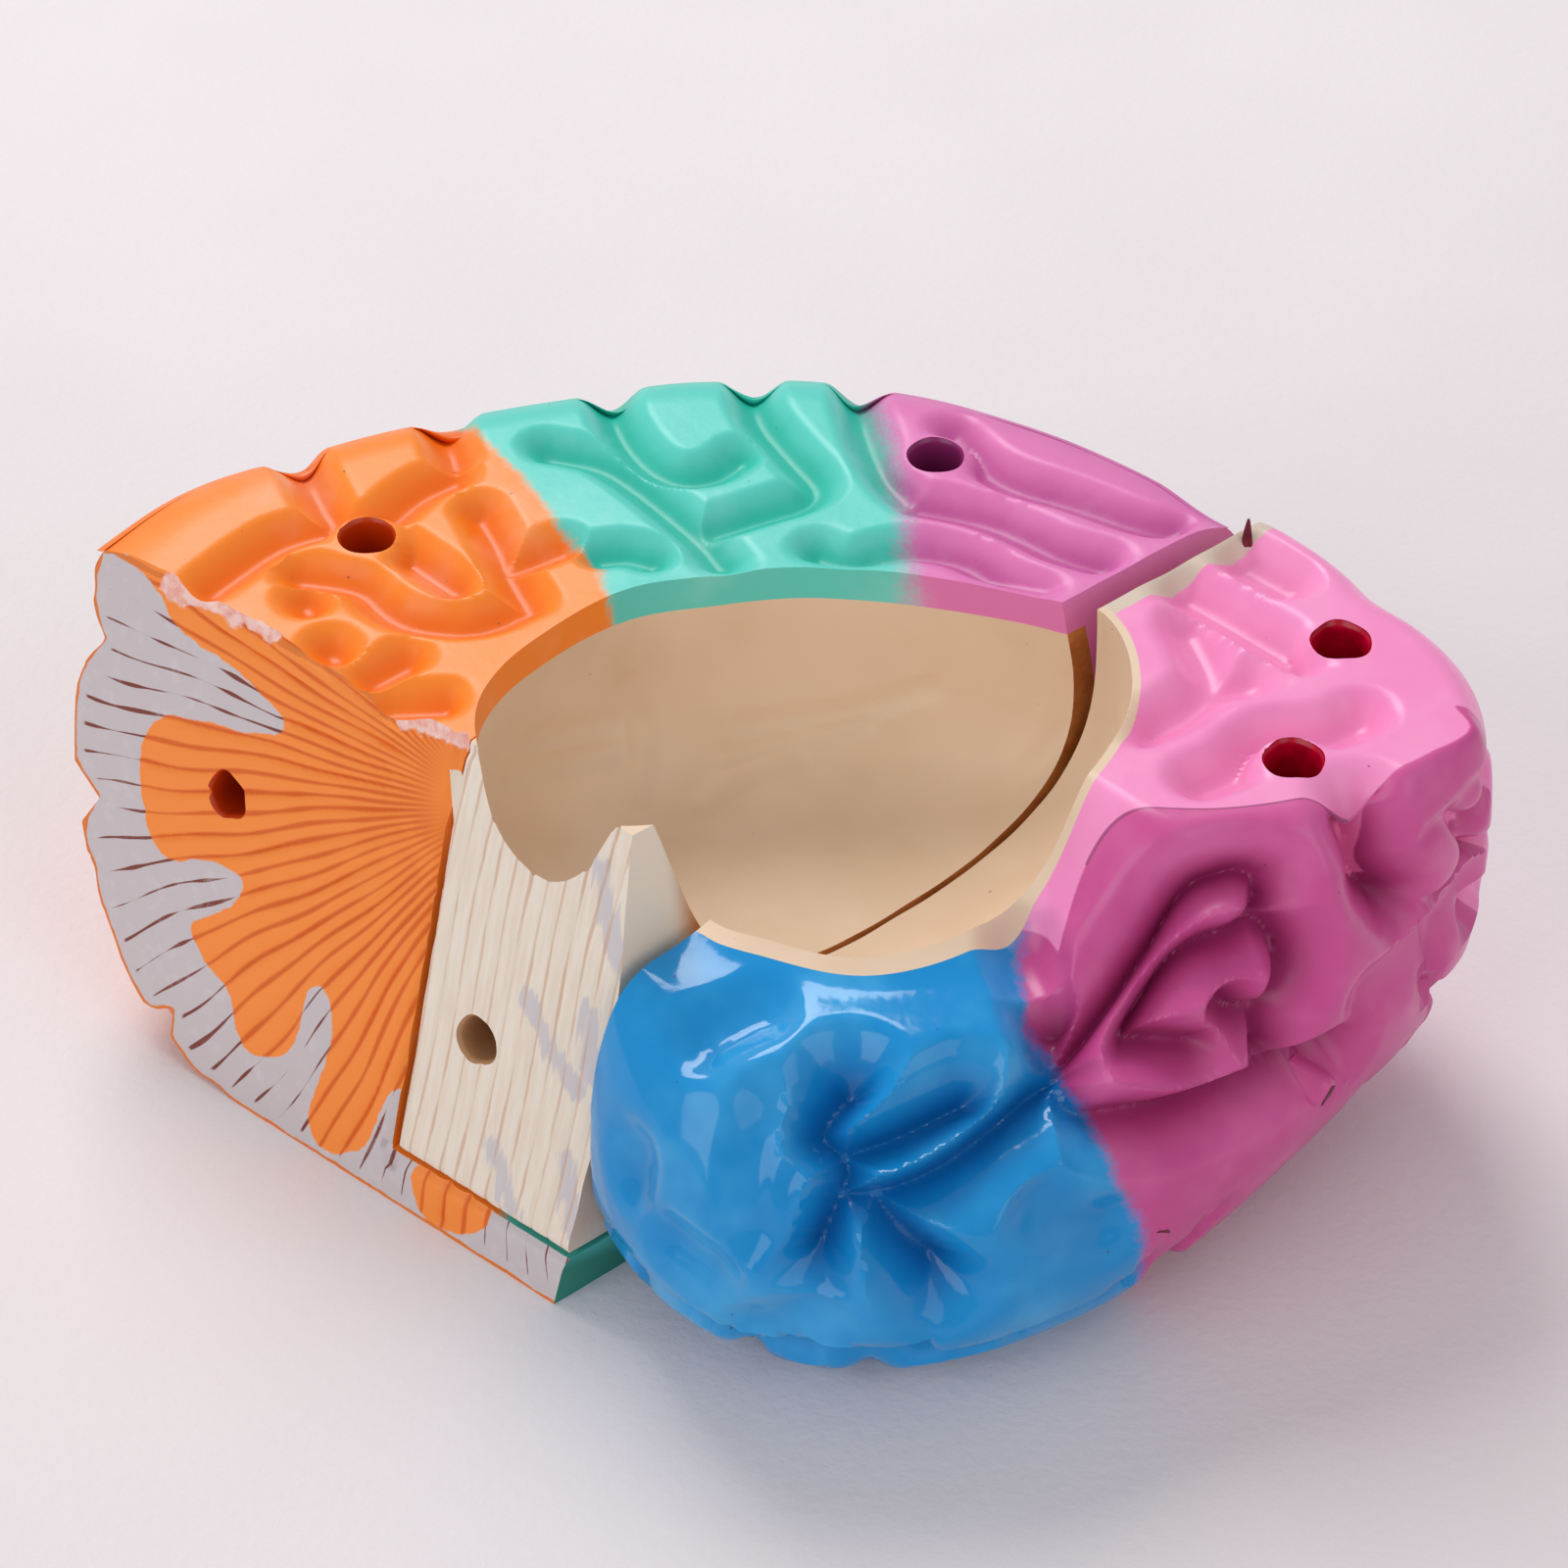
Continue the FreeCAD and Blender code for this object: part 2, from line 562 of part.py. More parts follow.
# Temporal-occipital section, trimmed to its side of the seam
seam_foot = seam_place(0, SEAM_GAP_HALF, BOWL_FLOOR_Z)
seam_back = half_space(seam_foot, SEAM_NORMAL * -1 - V(0, 0, SEAM_LOWER_SLOPE))
temporal = temporal_skin.solid().cut(seam_back)
temporal_hollow = cup(LIP_WIDTH, CORE_BASE_Z, MIDLINE_Z + OVERRUN, CORE_POWER)
temporal_core = temporal.common(temporal_hollow).cut(bowl)
temporal_casting = temporal.cut(temporal_hollow).cut(bowl)

# Sockets of the midline face, straight down, and of the cut face, square to it
for x, y in FRONTAL_SOCKETS:
    frontal_casting = frontal_casting.cut(socket(SOCKET_RADIUS, V(x, y, MIDLINE_Z), V(0, 0, 1)))
for x, y in OCCIPITAL_SOCKETS:
    temporal_casting = temporal_casting.cut(socket(SOCKET_RADIUS, V(x, y, MIDLINE_Z), V(0, 0, 1)))
face_holes = [socket(FACE_SOCKET_RADIUS, face_point(*place), CUT_NORMAL) for place in FACE_SOCKETS]
frontal_casting = frontal_casting.cut(face_holes[0])
frontal_core = frontal_core.cut(face_holes[1])

# Fan of grooves on the orange white matter and grain lines on the block
grooves = []
for k in range(FAN_GROOVES):
    turn = FAN_FIRST_DEG + (FAN_LAST_DEG - FAN_FIRST_DEG) * k / (FAN_GROOVES - 1)
    heading = math.radians(turn)
    away = CUT_DOWN * math.sin(heading) - CUT_ACROSS * math.cos(heading)
    start = face_point(*FAN_FOCUS) + away * FAN_START
    end = face_point(*FAN_FOCUS) + away * fan_end(turn)
    grooves.append(vee_groove(start, end, FAN_GROOVE_WIDTH, FAN_GROOVE_DEPTH))
frontal_casting = frontal_casting.cut(Part.makeCompound(grooves))
grain = []
left, right, bottom = BLOCK_EDGES
for k in range(GRAIN_GROOVES):
    across = left + (right - left) * (k + 1) / (GRAIN_GROOVES + 1)
    start = face_point(across, bottom - GRAIN_FOOT)
    grain.append(vee_groove(start, face_point(across, GRAIN_TOP), GRAIN_GROOVE_WIDTH, GRAIN_GROOVE_DEPTH))
frontal_core = frontal_core.cut(Part.makeCompound(grain))

# Stubs where the casting was cut from its runners, and a spike of flash
for place in STUBS:
    centre = V(*place)
    outward = centre - V(*TEMPORAL_CENTRE, STUB_AIM_Z)
    outward.normalize()
    stub = cylinder(STUB_RADIUS, centre - outward * STUB_PROUD * 2, outward, STUB_PROUD * 3)
    temporal_casting = temporal_casting.fuse(stub)
spike_foot = V(*SPIKE_PLACE, MIDLINE_Z - OVERRUN)
spike = Part.makeCone(SPIKE_RADIUS, SPIKE_TIP_RADIUS, SPIKE_HEIGHT + OVERRUN, spike_foot)
temporal_casting = temporal_casting.fuse(spike)

# Locating pins: pressed into the frontal-parietal core, sliding in the other section
pins = []
for station in PIN_STATIONS:
    foot = seam_place(station, -SEAM_GAP_HALF - PIN_HELD, PIN_Z)
    length = PIN_HELD + SEAM_GAP_HALF * 2 + PIN_PROUD
    pin = cylinder(PIN_RADIUS, foot, SEAM_NORMAL, length)
    pins.append(pin)
    frontal_core = frontal_core.cut(pin)
    bore = cylinder(
        PIN_RADIUS + PIN_CLEARANCE, seam_place(station, -SEAM_GAP_HALF, PIN_Z), SEAM_NORMAL,
        SEAM_GAP_HALF * 2 + PIN_PROUD + PIN_END_ROOM)
    temporal_core = temporal_core.cut(bore)
    temporal_casting = temporal_casting.cut(bore)

nodes = {
    "frontal_parietal_cortex": frontal_casting,
    "frontal_parietal_core": frontal_core,
    "temporal_occipital_cortex": temporal_casting,
    "temporal_occipital_core": temporal_core,
    "upper_locating_pin": pins[0],
    "lower_locating_pin": pins[1],
}
os.makedirs("parts", exist_ok=True)
for name, shape in nodes.items():
    solid = shape.Solids[0] if len(shape.Solids) == 1 else shape
    solid.translate(V(-BOX_CENTRE_X, -BOX_CENTRE_Y, 0))
    print(name, solid.isValid(), len(shape.Solids), round(solid.Volume / 1000, 2))
    solid.exportStep("parts/" + name + ".step")
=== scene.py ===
import math

import bpy
import numpy as np
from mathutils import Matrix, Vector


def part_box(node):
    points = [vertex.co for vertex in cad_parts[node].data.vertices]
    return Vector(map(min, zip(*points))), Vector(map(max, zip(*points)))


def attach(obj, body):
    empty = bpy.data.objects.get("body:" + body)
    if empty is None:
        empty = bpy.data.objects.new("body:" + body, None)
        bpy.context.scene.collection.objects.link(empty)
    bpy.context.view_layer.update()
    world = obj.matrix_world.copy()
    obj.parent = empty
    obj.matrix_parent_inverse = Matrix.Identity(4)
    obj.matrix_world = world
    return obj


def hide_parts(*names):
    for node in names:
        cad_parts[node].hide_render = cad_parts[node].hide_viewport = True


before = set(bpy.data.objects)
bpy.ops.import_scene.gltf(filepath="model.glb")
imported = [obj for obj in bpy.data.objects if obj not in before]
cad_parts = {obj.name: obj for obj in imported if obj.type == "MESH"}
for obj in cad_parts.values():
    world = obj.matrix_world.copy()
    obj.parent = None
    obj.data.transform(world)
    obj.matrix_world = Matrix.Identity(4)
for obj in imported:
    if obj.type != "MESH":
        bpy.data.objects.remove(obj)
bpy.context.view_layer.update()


# Frontal-parietal cortex: one hollow casting of soft PVC, airbrushed with satin lacquer in three colours.
# It is cast as the upper and front part of the half brain, with the midline face level, and was cut
# by the mould along the seam and along the slanted frontal face.
MIDLINE_Z = 58.0
BOWL_FLOOR_Z = 30.0
CORE_BASE_Z = 6.0
SLAB_THICKNESS = 4.6
CORE_REACH = 3.0
HUB_RADIUS = 3.0
BOX_CENTRE = np.array([-0.5, -12.6, 0.0])
SEAM_FOOT = np.array([10.8, -27.4, 0.0])
SEAM_TURN = math.radians(-38.3)
SEAM_NORMAL = np.array([math.cos(SEAM_TURN), math.sin(SEAM_TURN), 0.0])
SEAM_ALONG = np.array([-math.sin(SEAM_TURN), math.cos(SEAM_TURN), 0.0])
SEAM_HALF_GAP = 0.4
SEAM_SLOPES = {-1: 0.157, 1: 0.057}
CUT_POINT = np.array([-78.3, -5.3, MIDLINE_Z])
CUT_TURN = math.radians(242.2)
CUT_TILT = math.radians(16.0)
CUT_NORMAL = np.array([
    math.cos(CUT_TURN) * math.cos(CUT_TILT), math.sin(CUT_TURN) * math.cos(CUT_TILT), math.sin(CUT_TILT)])
CUT_ACROSS = np.array([-math.sin(CUT_TURN), math.cos(CUT_TURN), 0.0])
CUT_DOWN = np.cross(CUT_ACROSS, CUT_NORMAL)
CUT_DOWN = CUT_DOWN * -np.sign(CUT_DOWN[2])

FRONTAL_CENTRE = (-14.0, -6.0)
FRONTAL_MARGIN = np.array([
    (62, 20), (46.5, 25.5), (37, 32.4), (22.3, 39), (7.5, 42.7), (-5.6, 43), (-16.9, 40.5), (-33, 33.7),
    (-46.7, 26.5), (-60.5, 17), (-72.7, 6), (-78.8, -5.3), (-84, -20), (-80, -40), (-62, -56), (-35, -68),
    (-5, -76), (25, -60), (50, -25)])
FRONTAL_WIDEST = np.array([
    (66, 22), (48, 28), (38, 35), (23, 41), (8, 45), (-6, 45), (-17.5, 42.5), (-34, 35.5), (-48, 28),
    (-62, 18.5), (-74.5, 7), (-80.6, -5.3), (-84, -20), (-80, -42), (-62, -60), (-35, -74), (-5, -82),
    (30, -66), (55, -25)])
FRONTAL_PATCH = np.array([
    (22, -8), (12, 10), (-14, 18), (-36, 10), (-52, -8), (-58, -32), (-42, -50), (-10, -64), (12, -50),
    (24, -28)])
BOWL_CENTRE = (6.0, -16.0)
BOWL_RIM = np.array([
    (35.4, 4.4), (30.2, 5.6), (21, 6.7), (13, 6.9), (4.3, 6.2), (-7.8, 2.4), (-17.5, -2.4), (-24.4, -11),
    (-28, -18.7), (-28.9, -25), (-27.5, -31), (-24.5, -36.2), (-18.2, -40.9), (-13.7, -42), (-8.5, -41.2),
    (-2.5, -39.8), (2.5, -41.8), (8, -42.8), (17, -43.5), (23, -41.4), (32.5, -33), (37.5, -25), (40, -17),
    (40.3, -6)])
MEDIAL_FURROWS = [
    [(-64, 18), (-60.7, 14.7), (-55.9, 7), (-53, 3.3), (-56.8, 1.1), (-59.5, -1.7), (-63.8, -10.4)],
    [(-53, 3.3), (-48, 4.5), (-45.5, 11.5), (-42.4, 14.9)],
    [(-45.3, 1), (-40.4, -2.4), (-37.1, -4.6)],
    [(-54.6, -6.1), (-47.7, -6.1), (-43.9, -10.1), (-39.5, -11.8), (-32.3, -11), (-28.1, -6)],
    [(-37.5, 8.8), (-34.1, 3.8), (-32.2, -0.1), (-28.1, -6)],
    [(-32.2, -0.1), (-26.9, 4.9)],
    [(-41.6, -21.8), (-39, -18.4)],
    [(-38.6, -26.2), (-32.7, -24.7)],
    [(-29, 37), (-26.8, 29.4), (-21.6, 22.5), (-17, 20.3), (-12.6, 22.1), (-10.7, 25.7)],
    [(-32.8, 22.1), (-26.8, 21.9), (-22, 18.5), (-17.5, 14.6), (-12, 9.9), (-9.7, 7), (-7.2, 4)],
    [(-10.8, 11.7), (-6.3, 15.4), (-1.3, 19.3), (-0.7, 22.4), (-5.2, 27.3), (-11.4, 35), (-13, 44)],
    [(0, 45), (0.3, 39.8), (3, 32.7), (6.2, 26.1), (9.5, 22.3)],
    [(1.9, 10.1), (5.7, 8.7), (11, 12.8), (17.8, 12.8), (22.8, 8.9), (27.4, 7.2)],
    [(12.7, 35.5), (17, 29.8), (21.7, 27.2), (28.7, 25.6), (36.4, 23), (40.4, 22.8)],
    [(11, 21.2), (18.6, 20.7), (24.8, 17.7), (28.2, 15.7), (33.8, 14.7)],
    [(-47, 32), (-46, 24), (-43, 18)],
    [(-22.1, 4.2), (-19.6, 5.2), (-16.5, 4.7)],
    [(-52.7, -10.6), (-52.2, -11.2)],
    [(-47.6, -18.2), (-47, -18.6)]]
HIDDEN_PITCH, HIDDEN_DEPTH, HIDDEN_WIDTH = 15.0, 4.2, 0.75
EDGE_NOTCHES = [(2.1, 8.5), (6.1, 23.4), (11.3, 35.7), (18.5, 46), (23, 54)]


def smooth(x):
    """Ease from 0 to 1: three times the square less twice the cube."""
    x = np.clip(x, 0.0, 1.0)
    return x * x * (3 - 2 * x)


def unit(vector):
    """A vector brought to length 1."""
    return vector / np.linalg.norm(vector)


def radius_at(angle, outline, centre):
    """Radius of a closed outline at each angle: a cubic between corners, with slopes from the neighbours."""
    away = outline - np.array(centre)
    turn = np.arctan2(away[:, 1], away[:, 0]) % (2 * np.pi)
    order = np.argsort(turn)
    turn = turn[order]
    reach = np.hypot(away[:, 0], away[:, 1])[order]
    count = len(turn)
    angle = angle % (2 * np.pi)
    here = (np.searchsorted(turn, angle, side="right") - 1) % count
    before, beyond, last = (here - 1) % count, (here + 1) % count, (here + 2) % count
    step = (turn[beyond] - turn[here]) % (2 * np.pi)
    u = ((angle - turn[here]) % (2 * np.pi)) / step
    slope_in = (reach[beyond] - reach[before]) / (step + (turn[here] - turn[before]) % (2 * np.pi)) * step
    slope_out = (reach[last] - reach[here]) / (step + (turn[last] - turn[beyond]) % (2 * np.pi)) * step
    return ((2 * u**3 - 3 * u**2 + 1) * reach[here] + (u**3 - 2 * u**2 + u) * slope_in
            + (3 * u**2 - 2 * u**3) * reach[beyond] + (u**3 - u**2) * slope_out)


def skin_profile(angle, row, centre, outlines, face_z, flare_z):
    """Plain skin over angle and row. Row 0 to 1 crosses the face from the hub to the margin, row 1 to 2
    goes down the side to the widest contour and row 2 to 3 goes in to the patch it lies on. Both curved
    stretches are powers of a sine and cosine."""
    margin, widest, patch = [radius_at(angle, outline, centre)[:, None] for outline in outlines]
    face_z = np.asarray(face_z)[:, None]
    flare_z = np.asarray(flare_z)[:, None]
    row = row[None, :]
    q = np.clip(row - 1, 0, 1) * np.pi / 2
    p = np.clip(row - 2, 0, 1) * np.pi / 2
    level = np.clip(row, 0, 1)
    rise = np.maximum(np.cos(q), 0)
    radius = np.where(row <= 1, HUB_RADIUS + (margin - HUB_RADIUS) * level,
                      margin + (widest - margin) * np.sin(q) ** 0.85)
    radius = np.where(row <= 2, radius, patch + (widest - patch) * np.maximum(np.cos(p), 0) ** 0.9)
    z = np.where(row <= 1, MIDLINE_Z + (face_z - MIDLINE_Z) * smooth(level),
                 flare_z + (face_z - flare_z) * rise ** 0.85)
    z = np.where(row <= 2, z, flare_z * (1 - np.sin(p) ** 0.9))
    return np.stack([centre[0] + radius * np.cos(angle)[:, None],
                     centre[1] + radius * np.sin(angle)[:, None], z], axis=-1)


def outward_of(grid):
    """Unit normal of a grid that closes round its first axis: the cross product of its two differences."""
    across = np.roll(grid, -1, axis=0) - np.roll(grid, 1, axis=0)
    down = np.gradient(grid, axis=1)
    normal = np.cross(down, across)
    return normal / np.maximum(np.linalg.norm(normal, axis=-1, keepdims=True), 1e-9)


def gap_to(points, route):
    """Distance of each point to a chain of straight runs."""
    best = np.full(points.shape[:-1], 1e3)
    route = np.asarray(route, float)
    for a, b in zip(route, route[1:]):
        run = b - a
        share = np.clip((points - a) @ run / (run @ run), 0, 1)
        best = np.minimum(best, np.linalg.norm(points - a - share[..., None] * run, axis=-1))
    return best


def eased(route):
    """Rounds the corners of a route: twice, each corner gives way to the quarter points beside it."""
    route = np.asarray(route, float)
    for _ in range(2):
        early = route[:-1] * 0.75 + route[1:] * 0.25
        late = route[:-1] * 0.25 + route[1:] * 0.75
        between = np.stack([early, late], 1).reshape(-1, route.shape[1])
        route = np.vstack([route[:1], between[1:-1], route[-1:]])
    return route


def furrows(points, routes, depth, reach, crease):
    """Depth of a set of furrows. Across each it falls from the route to nought at its reach, as a smooth
    step for a soft furrow and as a quarter circle for the crease between two round folds."""
    deepest = np.zeros(points.shape[:-1])
    for route in routes:
        gap = np.sqrt(gap_to(points, eased(route)) ** 2 + 1.0) - 1.0
        share = np.clip(1 - gap / reach, 0, 1)
        bend = (1 - np.sqrt(1 - 0.92 * share ** 2)) / (1 - math.sqrt(0.08))
        deepest = np.maximum(deepest, depth * (smooth(share) * (1 - crease) + bend * crease))
    return deepest


def hidden_folds(points):
    """Winding furrows of the outer side, along the zero lines of a sum of seven waves of one pitch."""
    total = np.zeros(points.shape[:-1])
    for k in range(7):
        lift = math.sin(1.7 * k)
        level = math.sqrt(1 - lift * lift)
        heading = np.array([math.cos(2.4 * k) * level, math.sin(2.4 * k) * level, lift])
        total += np.cos(2 * np.pi / HIDDEN_PITCH * (points @ heading) + 1.3 * k * k)
    return HIDDEN_DEPTH * np.exp(-np.abs(total / HIDDEN_WIDTH) ** 1.9)


def swell(points, pitch, seed):
    """Gentle unevenness between -1 and 1: the mean of five waves in seeded directions."""
    rng = np.random.default_rng(seed)
    total = np.zeros(points.shape[:-1])
    for _ in range(5):
        heading = unit(rng.normal(size=points.shape[-1]))
        length = pitch * rng.uniform(0.7, 1.4)
        total += np.sin(2 * np.pi / length * (points @ heading) + rng.uniform(0, 6.3))
    return total / 5


def face_point(across, down, out=0.0):
    """Point of the cut face by its distance across it, down it and out of it."""
    across, down, out = [np.asarray(value, float)[..., None] for value in (across, down, out)]
    return CUT_POINT + CUT_ACROSS * across + CUT_DOWN * down + CUT_NORMAL * out


def seam_point(station, z, out):
    """Point by its distance along the seam, its height and its distance across the seam."""
    station, z, out = [np.asarray(value, float)[..., None] for value in (station, z, out)]
    return SEAM_FOOT + SEAM_ALONG * station + SEAM_NORMAL * out + np.array([0, 0, 1.0]) * z


def signed_gap(points, outline):
    """Distance to a closed outline in the plane, less than nought inside it."""
    outline = np.asarray(outline, float)
    for _ in range(2):
        beyond = np.roll(outline, -1, axis=0)
        outline = np.stack([outline * 0.75 + beyond * 0.25, outline * 0.25 + beyond * 0.75], 1).reshape(-1, 2)
    gap = gap_to(points, np.vstack([outline, outline[:1]]))
    inside = np.zeros(points.shape[:-1], bool)
    for (ax, ay), (bx, by) in zip(outline, np.roll(outline, -1, axis=0)):
        if ay != by:
            crosses = (ay > points[..., 1]) != (by > points[..., 1])
            inside ^= crosses & (points[..., 0] < (bx - ax) * (points[..., 1] - ay) / (by - ay) + ax)
    return np.where(inside, -gap, gap)


ORANGE_MATTER = [
    (2.8, 0.6), (9.4, 2.6), (12.4, 6.3), (24.2, 7.2), (31, 9.6), (30.4, 12), (25.3, 13.9), (17.9, 15.8),
    (12.6, 17.4), (9.6, 23), (10.6, 27.7), (12.8, 33.2), (16.4, 35.4), (20.7, 32.6), (27.5, 31.1),
    (28.6, 34.5), (23.4, 39.1), (20.7, 41.9), (24.4, 45.3), (28.6, 46.4), (30.4, 52.2), (34.1, 53.3),
    (39.4, 49.5), (39.4, 40.8), (42.1, 38.8), (44.4, 42.2), (44, 49), (42.3, 55.3), (44.3, 59.6),
    (48.8, 58.5), (52.1, 55.4), (53.5, 46.6), (57, 46), (58, 12), (64, -6), (30, -6), (3.5, -6)]
ORANGE_PATCH = [(58.6, 57), (59.5, 52), (69, 52), (71, 55.5), (68.6, 58.4), (64.5, 60), (61, 60)]
LILAC_PATCHES = [
    [(77, 6), (79, 11), (83, 17)], [(82.8, 4), (83.4, 12)], [(70.5, 26), (74.6, 30), (79, 33)],
    [(79.2, 23), (80.3, 30)], [(69.4, 46), (73, 52)], [(79.4, 42), (82, 50)]]
FACE_SOCKET_RADIUS, CUT_SOCKET_RADIUS = 3.0, 2.6
FACE_SOCKET_SUNK, CUT_SOCKET_SUNK = 0.25, 0.3
SCARS = [[(11.6, 1.7), (15, 0.6), (20, 0.2), (26, 0.1)], [(46.2, 1.1), (52, 0.2), (57.7, -0.4)]]
BLOCK_LEFT, BLOCK_BOTTOM, BLOCK_RIGHT, BLOCK_DEPTH = 56.0, 53.5, 90.0, 15.0
FAN_FOCUS = (62.0, 6.0)
FAN_PITCH_DEG = 3.3
GRAIN_PITCH = 2.3
# Route down the gap beside the temporal pole, round which the cream is painted orange: painted light bounced
# from the orange paint.
GLOW_ROUTE = [(-22, -50, 38), (-20, -49, 25), (-19, -49, 12)]


def fan_phase(across, down):
    """Count of fan grooves from the level: the angle round the focus over the pitch, with a slow waver."""
    turn = np.degrees(np.arctan2(down - FAN_FOCUS[1], FAN_FOCUS[0] - across))
    reach = np.hypot(down - FAN_FOCUS[1], FAN_FOCUS[0] - across)
    waver = 0.14 * np.sin(reach / 6.1 + turn / 7.0) + 0.06 * np.sin(reach / 2.9 - turn / 3.1 + 1.0)
    return turn / FAN_PITCH_DEG + waver, reach


def cut_relief(across, down):
    """How far the cut face is let in: rounded grooves along whole counts of the fan phase, grain lines on
    the block, rounded edges round the block and rough scars."""
    spot = np.stack([across, down], -1)
    phase, reach = fan_phase(across, down)
    off_line = np.abs(phase - np.round(phase)) * np.radians(FAN_PITCH_DEG) * reach
    strength = 0.6 + 0.4 * np.sin(np.round(phase) * 2.3 + reach / 9)
    fan = 0.5 * strength * np.exp(-(off_line / 0.45) ** 2) * smooth((reach - 9) / 8)
    matter = np.minimum(signed_gap(spot, ORANGE_MATTER), signed_gap(spot, ORANGE_PATCH))
    fan = fan * (0.12 + 0.88 * smooth(-matter / 1.0)) - 0.12 * smooth(matter / 0.4)
    in_block = smooth((across - BLOCK_LEFT + 0.3) / 0.6) * smooth((BLOCK_BOTTOM - down + 0.3) / 0.6)
    grain_phase = (across + 0.5 * np.sin(down / 9.0) + 0.04 * down) / GRAIN_PITCH
    off_grain = np.abs(grain_phase - np.round(grain_phase)) * GRAIN_PITCH
    fading = np.clip(0.35 + 0.65 * np.sin(np.round(grain_phase) * 1.9 + down / 11), 0.1, 1)
    grain = 0.2 * np.exp(-(off_grain / 0.3) ** 2) * fading * (1 + 1.2 * smooth((16 - down) / 14))
    edge = np.minimum(np.abs(across - BLOCK_LEFT + 0.5), 9.0)
    edge = np.where(down < BLOCK_BOTTOM + 3, edge, 9.0)
    foot = np.where(across > BLOCK_LEFT - 2, np.abs(down - BLOCK_BOTTOM - 0.5), 9.0)
    bevel = 0.8 * np.exp(-(np.minimum(edge, foot) / 0.9) ** 2)
    flat = np.stack([across, down, 0 * across], -1)
    scar = np.minimum(gap_to(spot, SCARS[0]), gap_to(spot, SCARS[1]))
    rough = 0.45 * smooth((3.0 - scar) / 1.6) * (0.7 + 0.6 * swell(flat, 1.8, 5))
    return 0.15 + fan * (1 - in_block) + grain * in_block + bevel + rough + 0.06 * swell(flat, 6.0, 3)


def paint_marks(points):
    """What the shaders need at each point: signed millimetres to the paint borders, and the place on the
    cut face."""
    lowered = smooth((50 - points[..., 2]) / 14)
    x, y = points[..., 0], points[..., 1]
    on_face = np.interp(y, [-90, -8, 2, 8, 16, 26, 40], [-14, -17, -22, -28, -35, -44.5, -53])
    on_side = np.interp(y, [-90, -55, -8, 26, 60], [-26, -20, -24, -46, -60])
    teal = x - (on_face * (1 - lowered) + on_side * lowered)
    mauve = x - np.interp(y, [-70, 1, 11, 22, 32, 41, 60], [20, 15, 12, 9, 5.5, 1, 0])
    away = points - CUT_POINT
    across, down = away @ CUT_ACROSS, away @ CUT_DOWN
    phase, reach = fan_phase(across, down)
    spot = np.stack([across, down], -1)
    scar = np.minimum(gap_to(spot, SCARS[0]), gap_to(spot, SCARS[1]))
    orange = np.minimum(signed_gap(spot, ORANGE_MATTER), signed_gap(spot, ORANGE_PATCH))
    lilac = np.min([gap_to(spot, route) for route in LILAC_PATCHES], axis=0)
    return {"teal": teal, "mauve": mauve, "across": across, "down": down, "fan": phase, "reach": reach,
            "scar": scar, "orange": orange, "rim": gap_to(spot, BROW_EDGE), "lilac": lilac,
            "glow": gap_to(points, GLOW_ROUTE), "station": (points - SEAM_FOOT) @ SEAM_ALONG}


def to_frame(points):
    """Millimetres of the drawing to metres of the part's frame."""
    return (points - BOX_CENTRE) / 1000


def put(name, data):
    """A new object of the scene."""
    made = bpy.data.objects.new(name, data)
    bpy.context.scene.collection.objects.link(made)
    return made


def make_mesh(name, points, faces, looks, marks, furrow=None, look=0):
    """Puts whole arrays into a mesh: points in millimetres, faces as rows of corners, one look for all the
    faces, and each mark as a float on the face corners."""
    mesh = bpy.data.meshes.new(name)
    flat = np.concatenate([group.ravel() for group in faces])
    sizes = np.concatenate([np.full(len(group), group.shape[1]) for group in faces])
    starts = np.concatenate([[0], np.cumsum(sizes)[:-1]])
    volume = 0.0
    for group in faces:
        a, b, c = [points[group[:, k]] for k in (0, 1, 2)]
        volume += np.einsum("ij,ij->i", a, np.cross(b, c)).sum()
        if group.shape[1] == 4:
            volume += np.einsum("ij,ij->i", a, np.cross(c, points[group[:, 3]])).sum()
    if volume < 0:
        flat = np.concatenate([group[:, ::-1].ravel() for group in faces])
    mesh.vertices.add(len(points))
    mesh.vertices.foreach_set("co", to_frame(points).ravel())
    mesh.loops.add(len(flat))
    mesh.loops.foreach_set("vertex_index", flat.astype(np.int32))
    mesh.polygons.add(len(sizes))
    mesh.polygons.foreach_set("loop_start", starts.astype(np.int32))
    for finish in looks:
        mesh.materials.append(finish)
    mesh.polygons.foreach_set("material_index", np.full(len(sizes), look, np.int32))
    values = dict(marks(points))
    values["furrow"] = np.zeros(len(points)) if furrow is None else furrow
    for key, value in values.items():
        mesh.attributes.new(key, "FLOAT", "CORNER").data.foreach_set("value", value[flat].astype(np.float32))
    mesh.update(calc_edges=True)
    return put(name, mesh)


def tube_faces(steps, rings):
    """Corners of a grid closed round its first axis, with a fan to a hub point at each end."""
    step = np.arange(steps)[:, None]
    ring = np.arange(rings - 1)[None, :]
    near, far = step * rings + ring, (step + 1) % steps * rings + ring
    quads = np.stack([near, near + 1, far + 1, far], -1).reshape(-1, 4)
    first, last = steps * rings, steps * rings + 1
    step = step[:, 0]
    beside = (step + 1) % steps
    fans = [np.stack([np.full(steps, first), step * rings, beside * rings], -1),
            np.stack([np.full(steps, last), beside * rings + rings - 1, step * rings + rings - 1], -1)]
    return [quads, np.vstack(fans)]


def closed_tube(name, grid, looks, marks, furrow=None, look=0):
    """A closed piece over a grid of angle and row, its end rings closed by fans."""
    hubs = np.stack([grid[:, 0].mean(axis=0), grid[:, -1].mean(axis=0)])
    points = np.vstack([grid.reshape(-1, 3), hubs])
    if furrow is not None:
        furrow = np.append(furrow.ravel(), [0.0, 0.0])
    return make_mesh(name, points, tube_faces(grid.shape[0], grid.shape[1]), looks, marks, furrow, look)


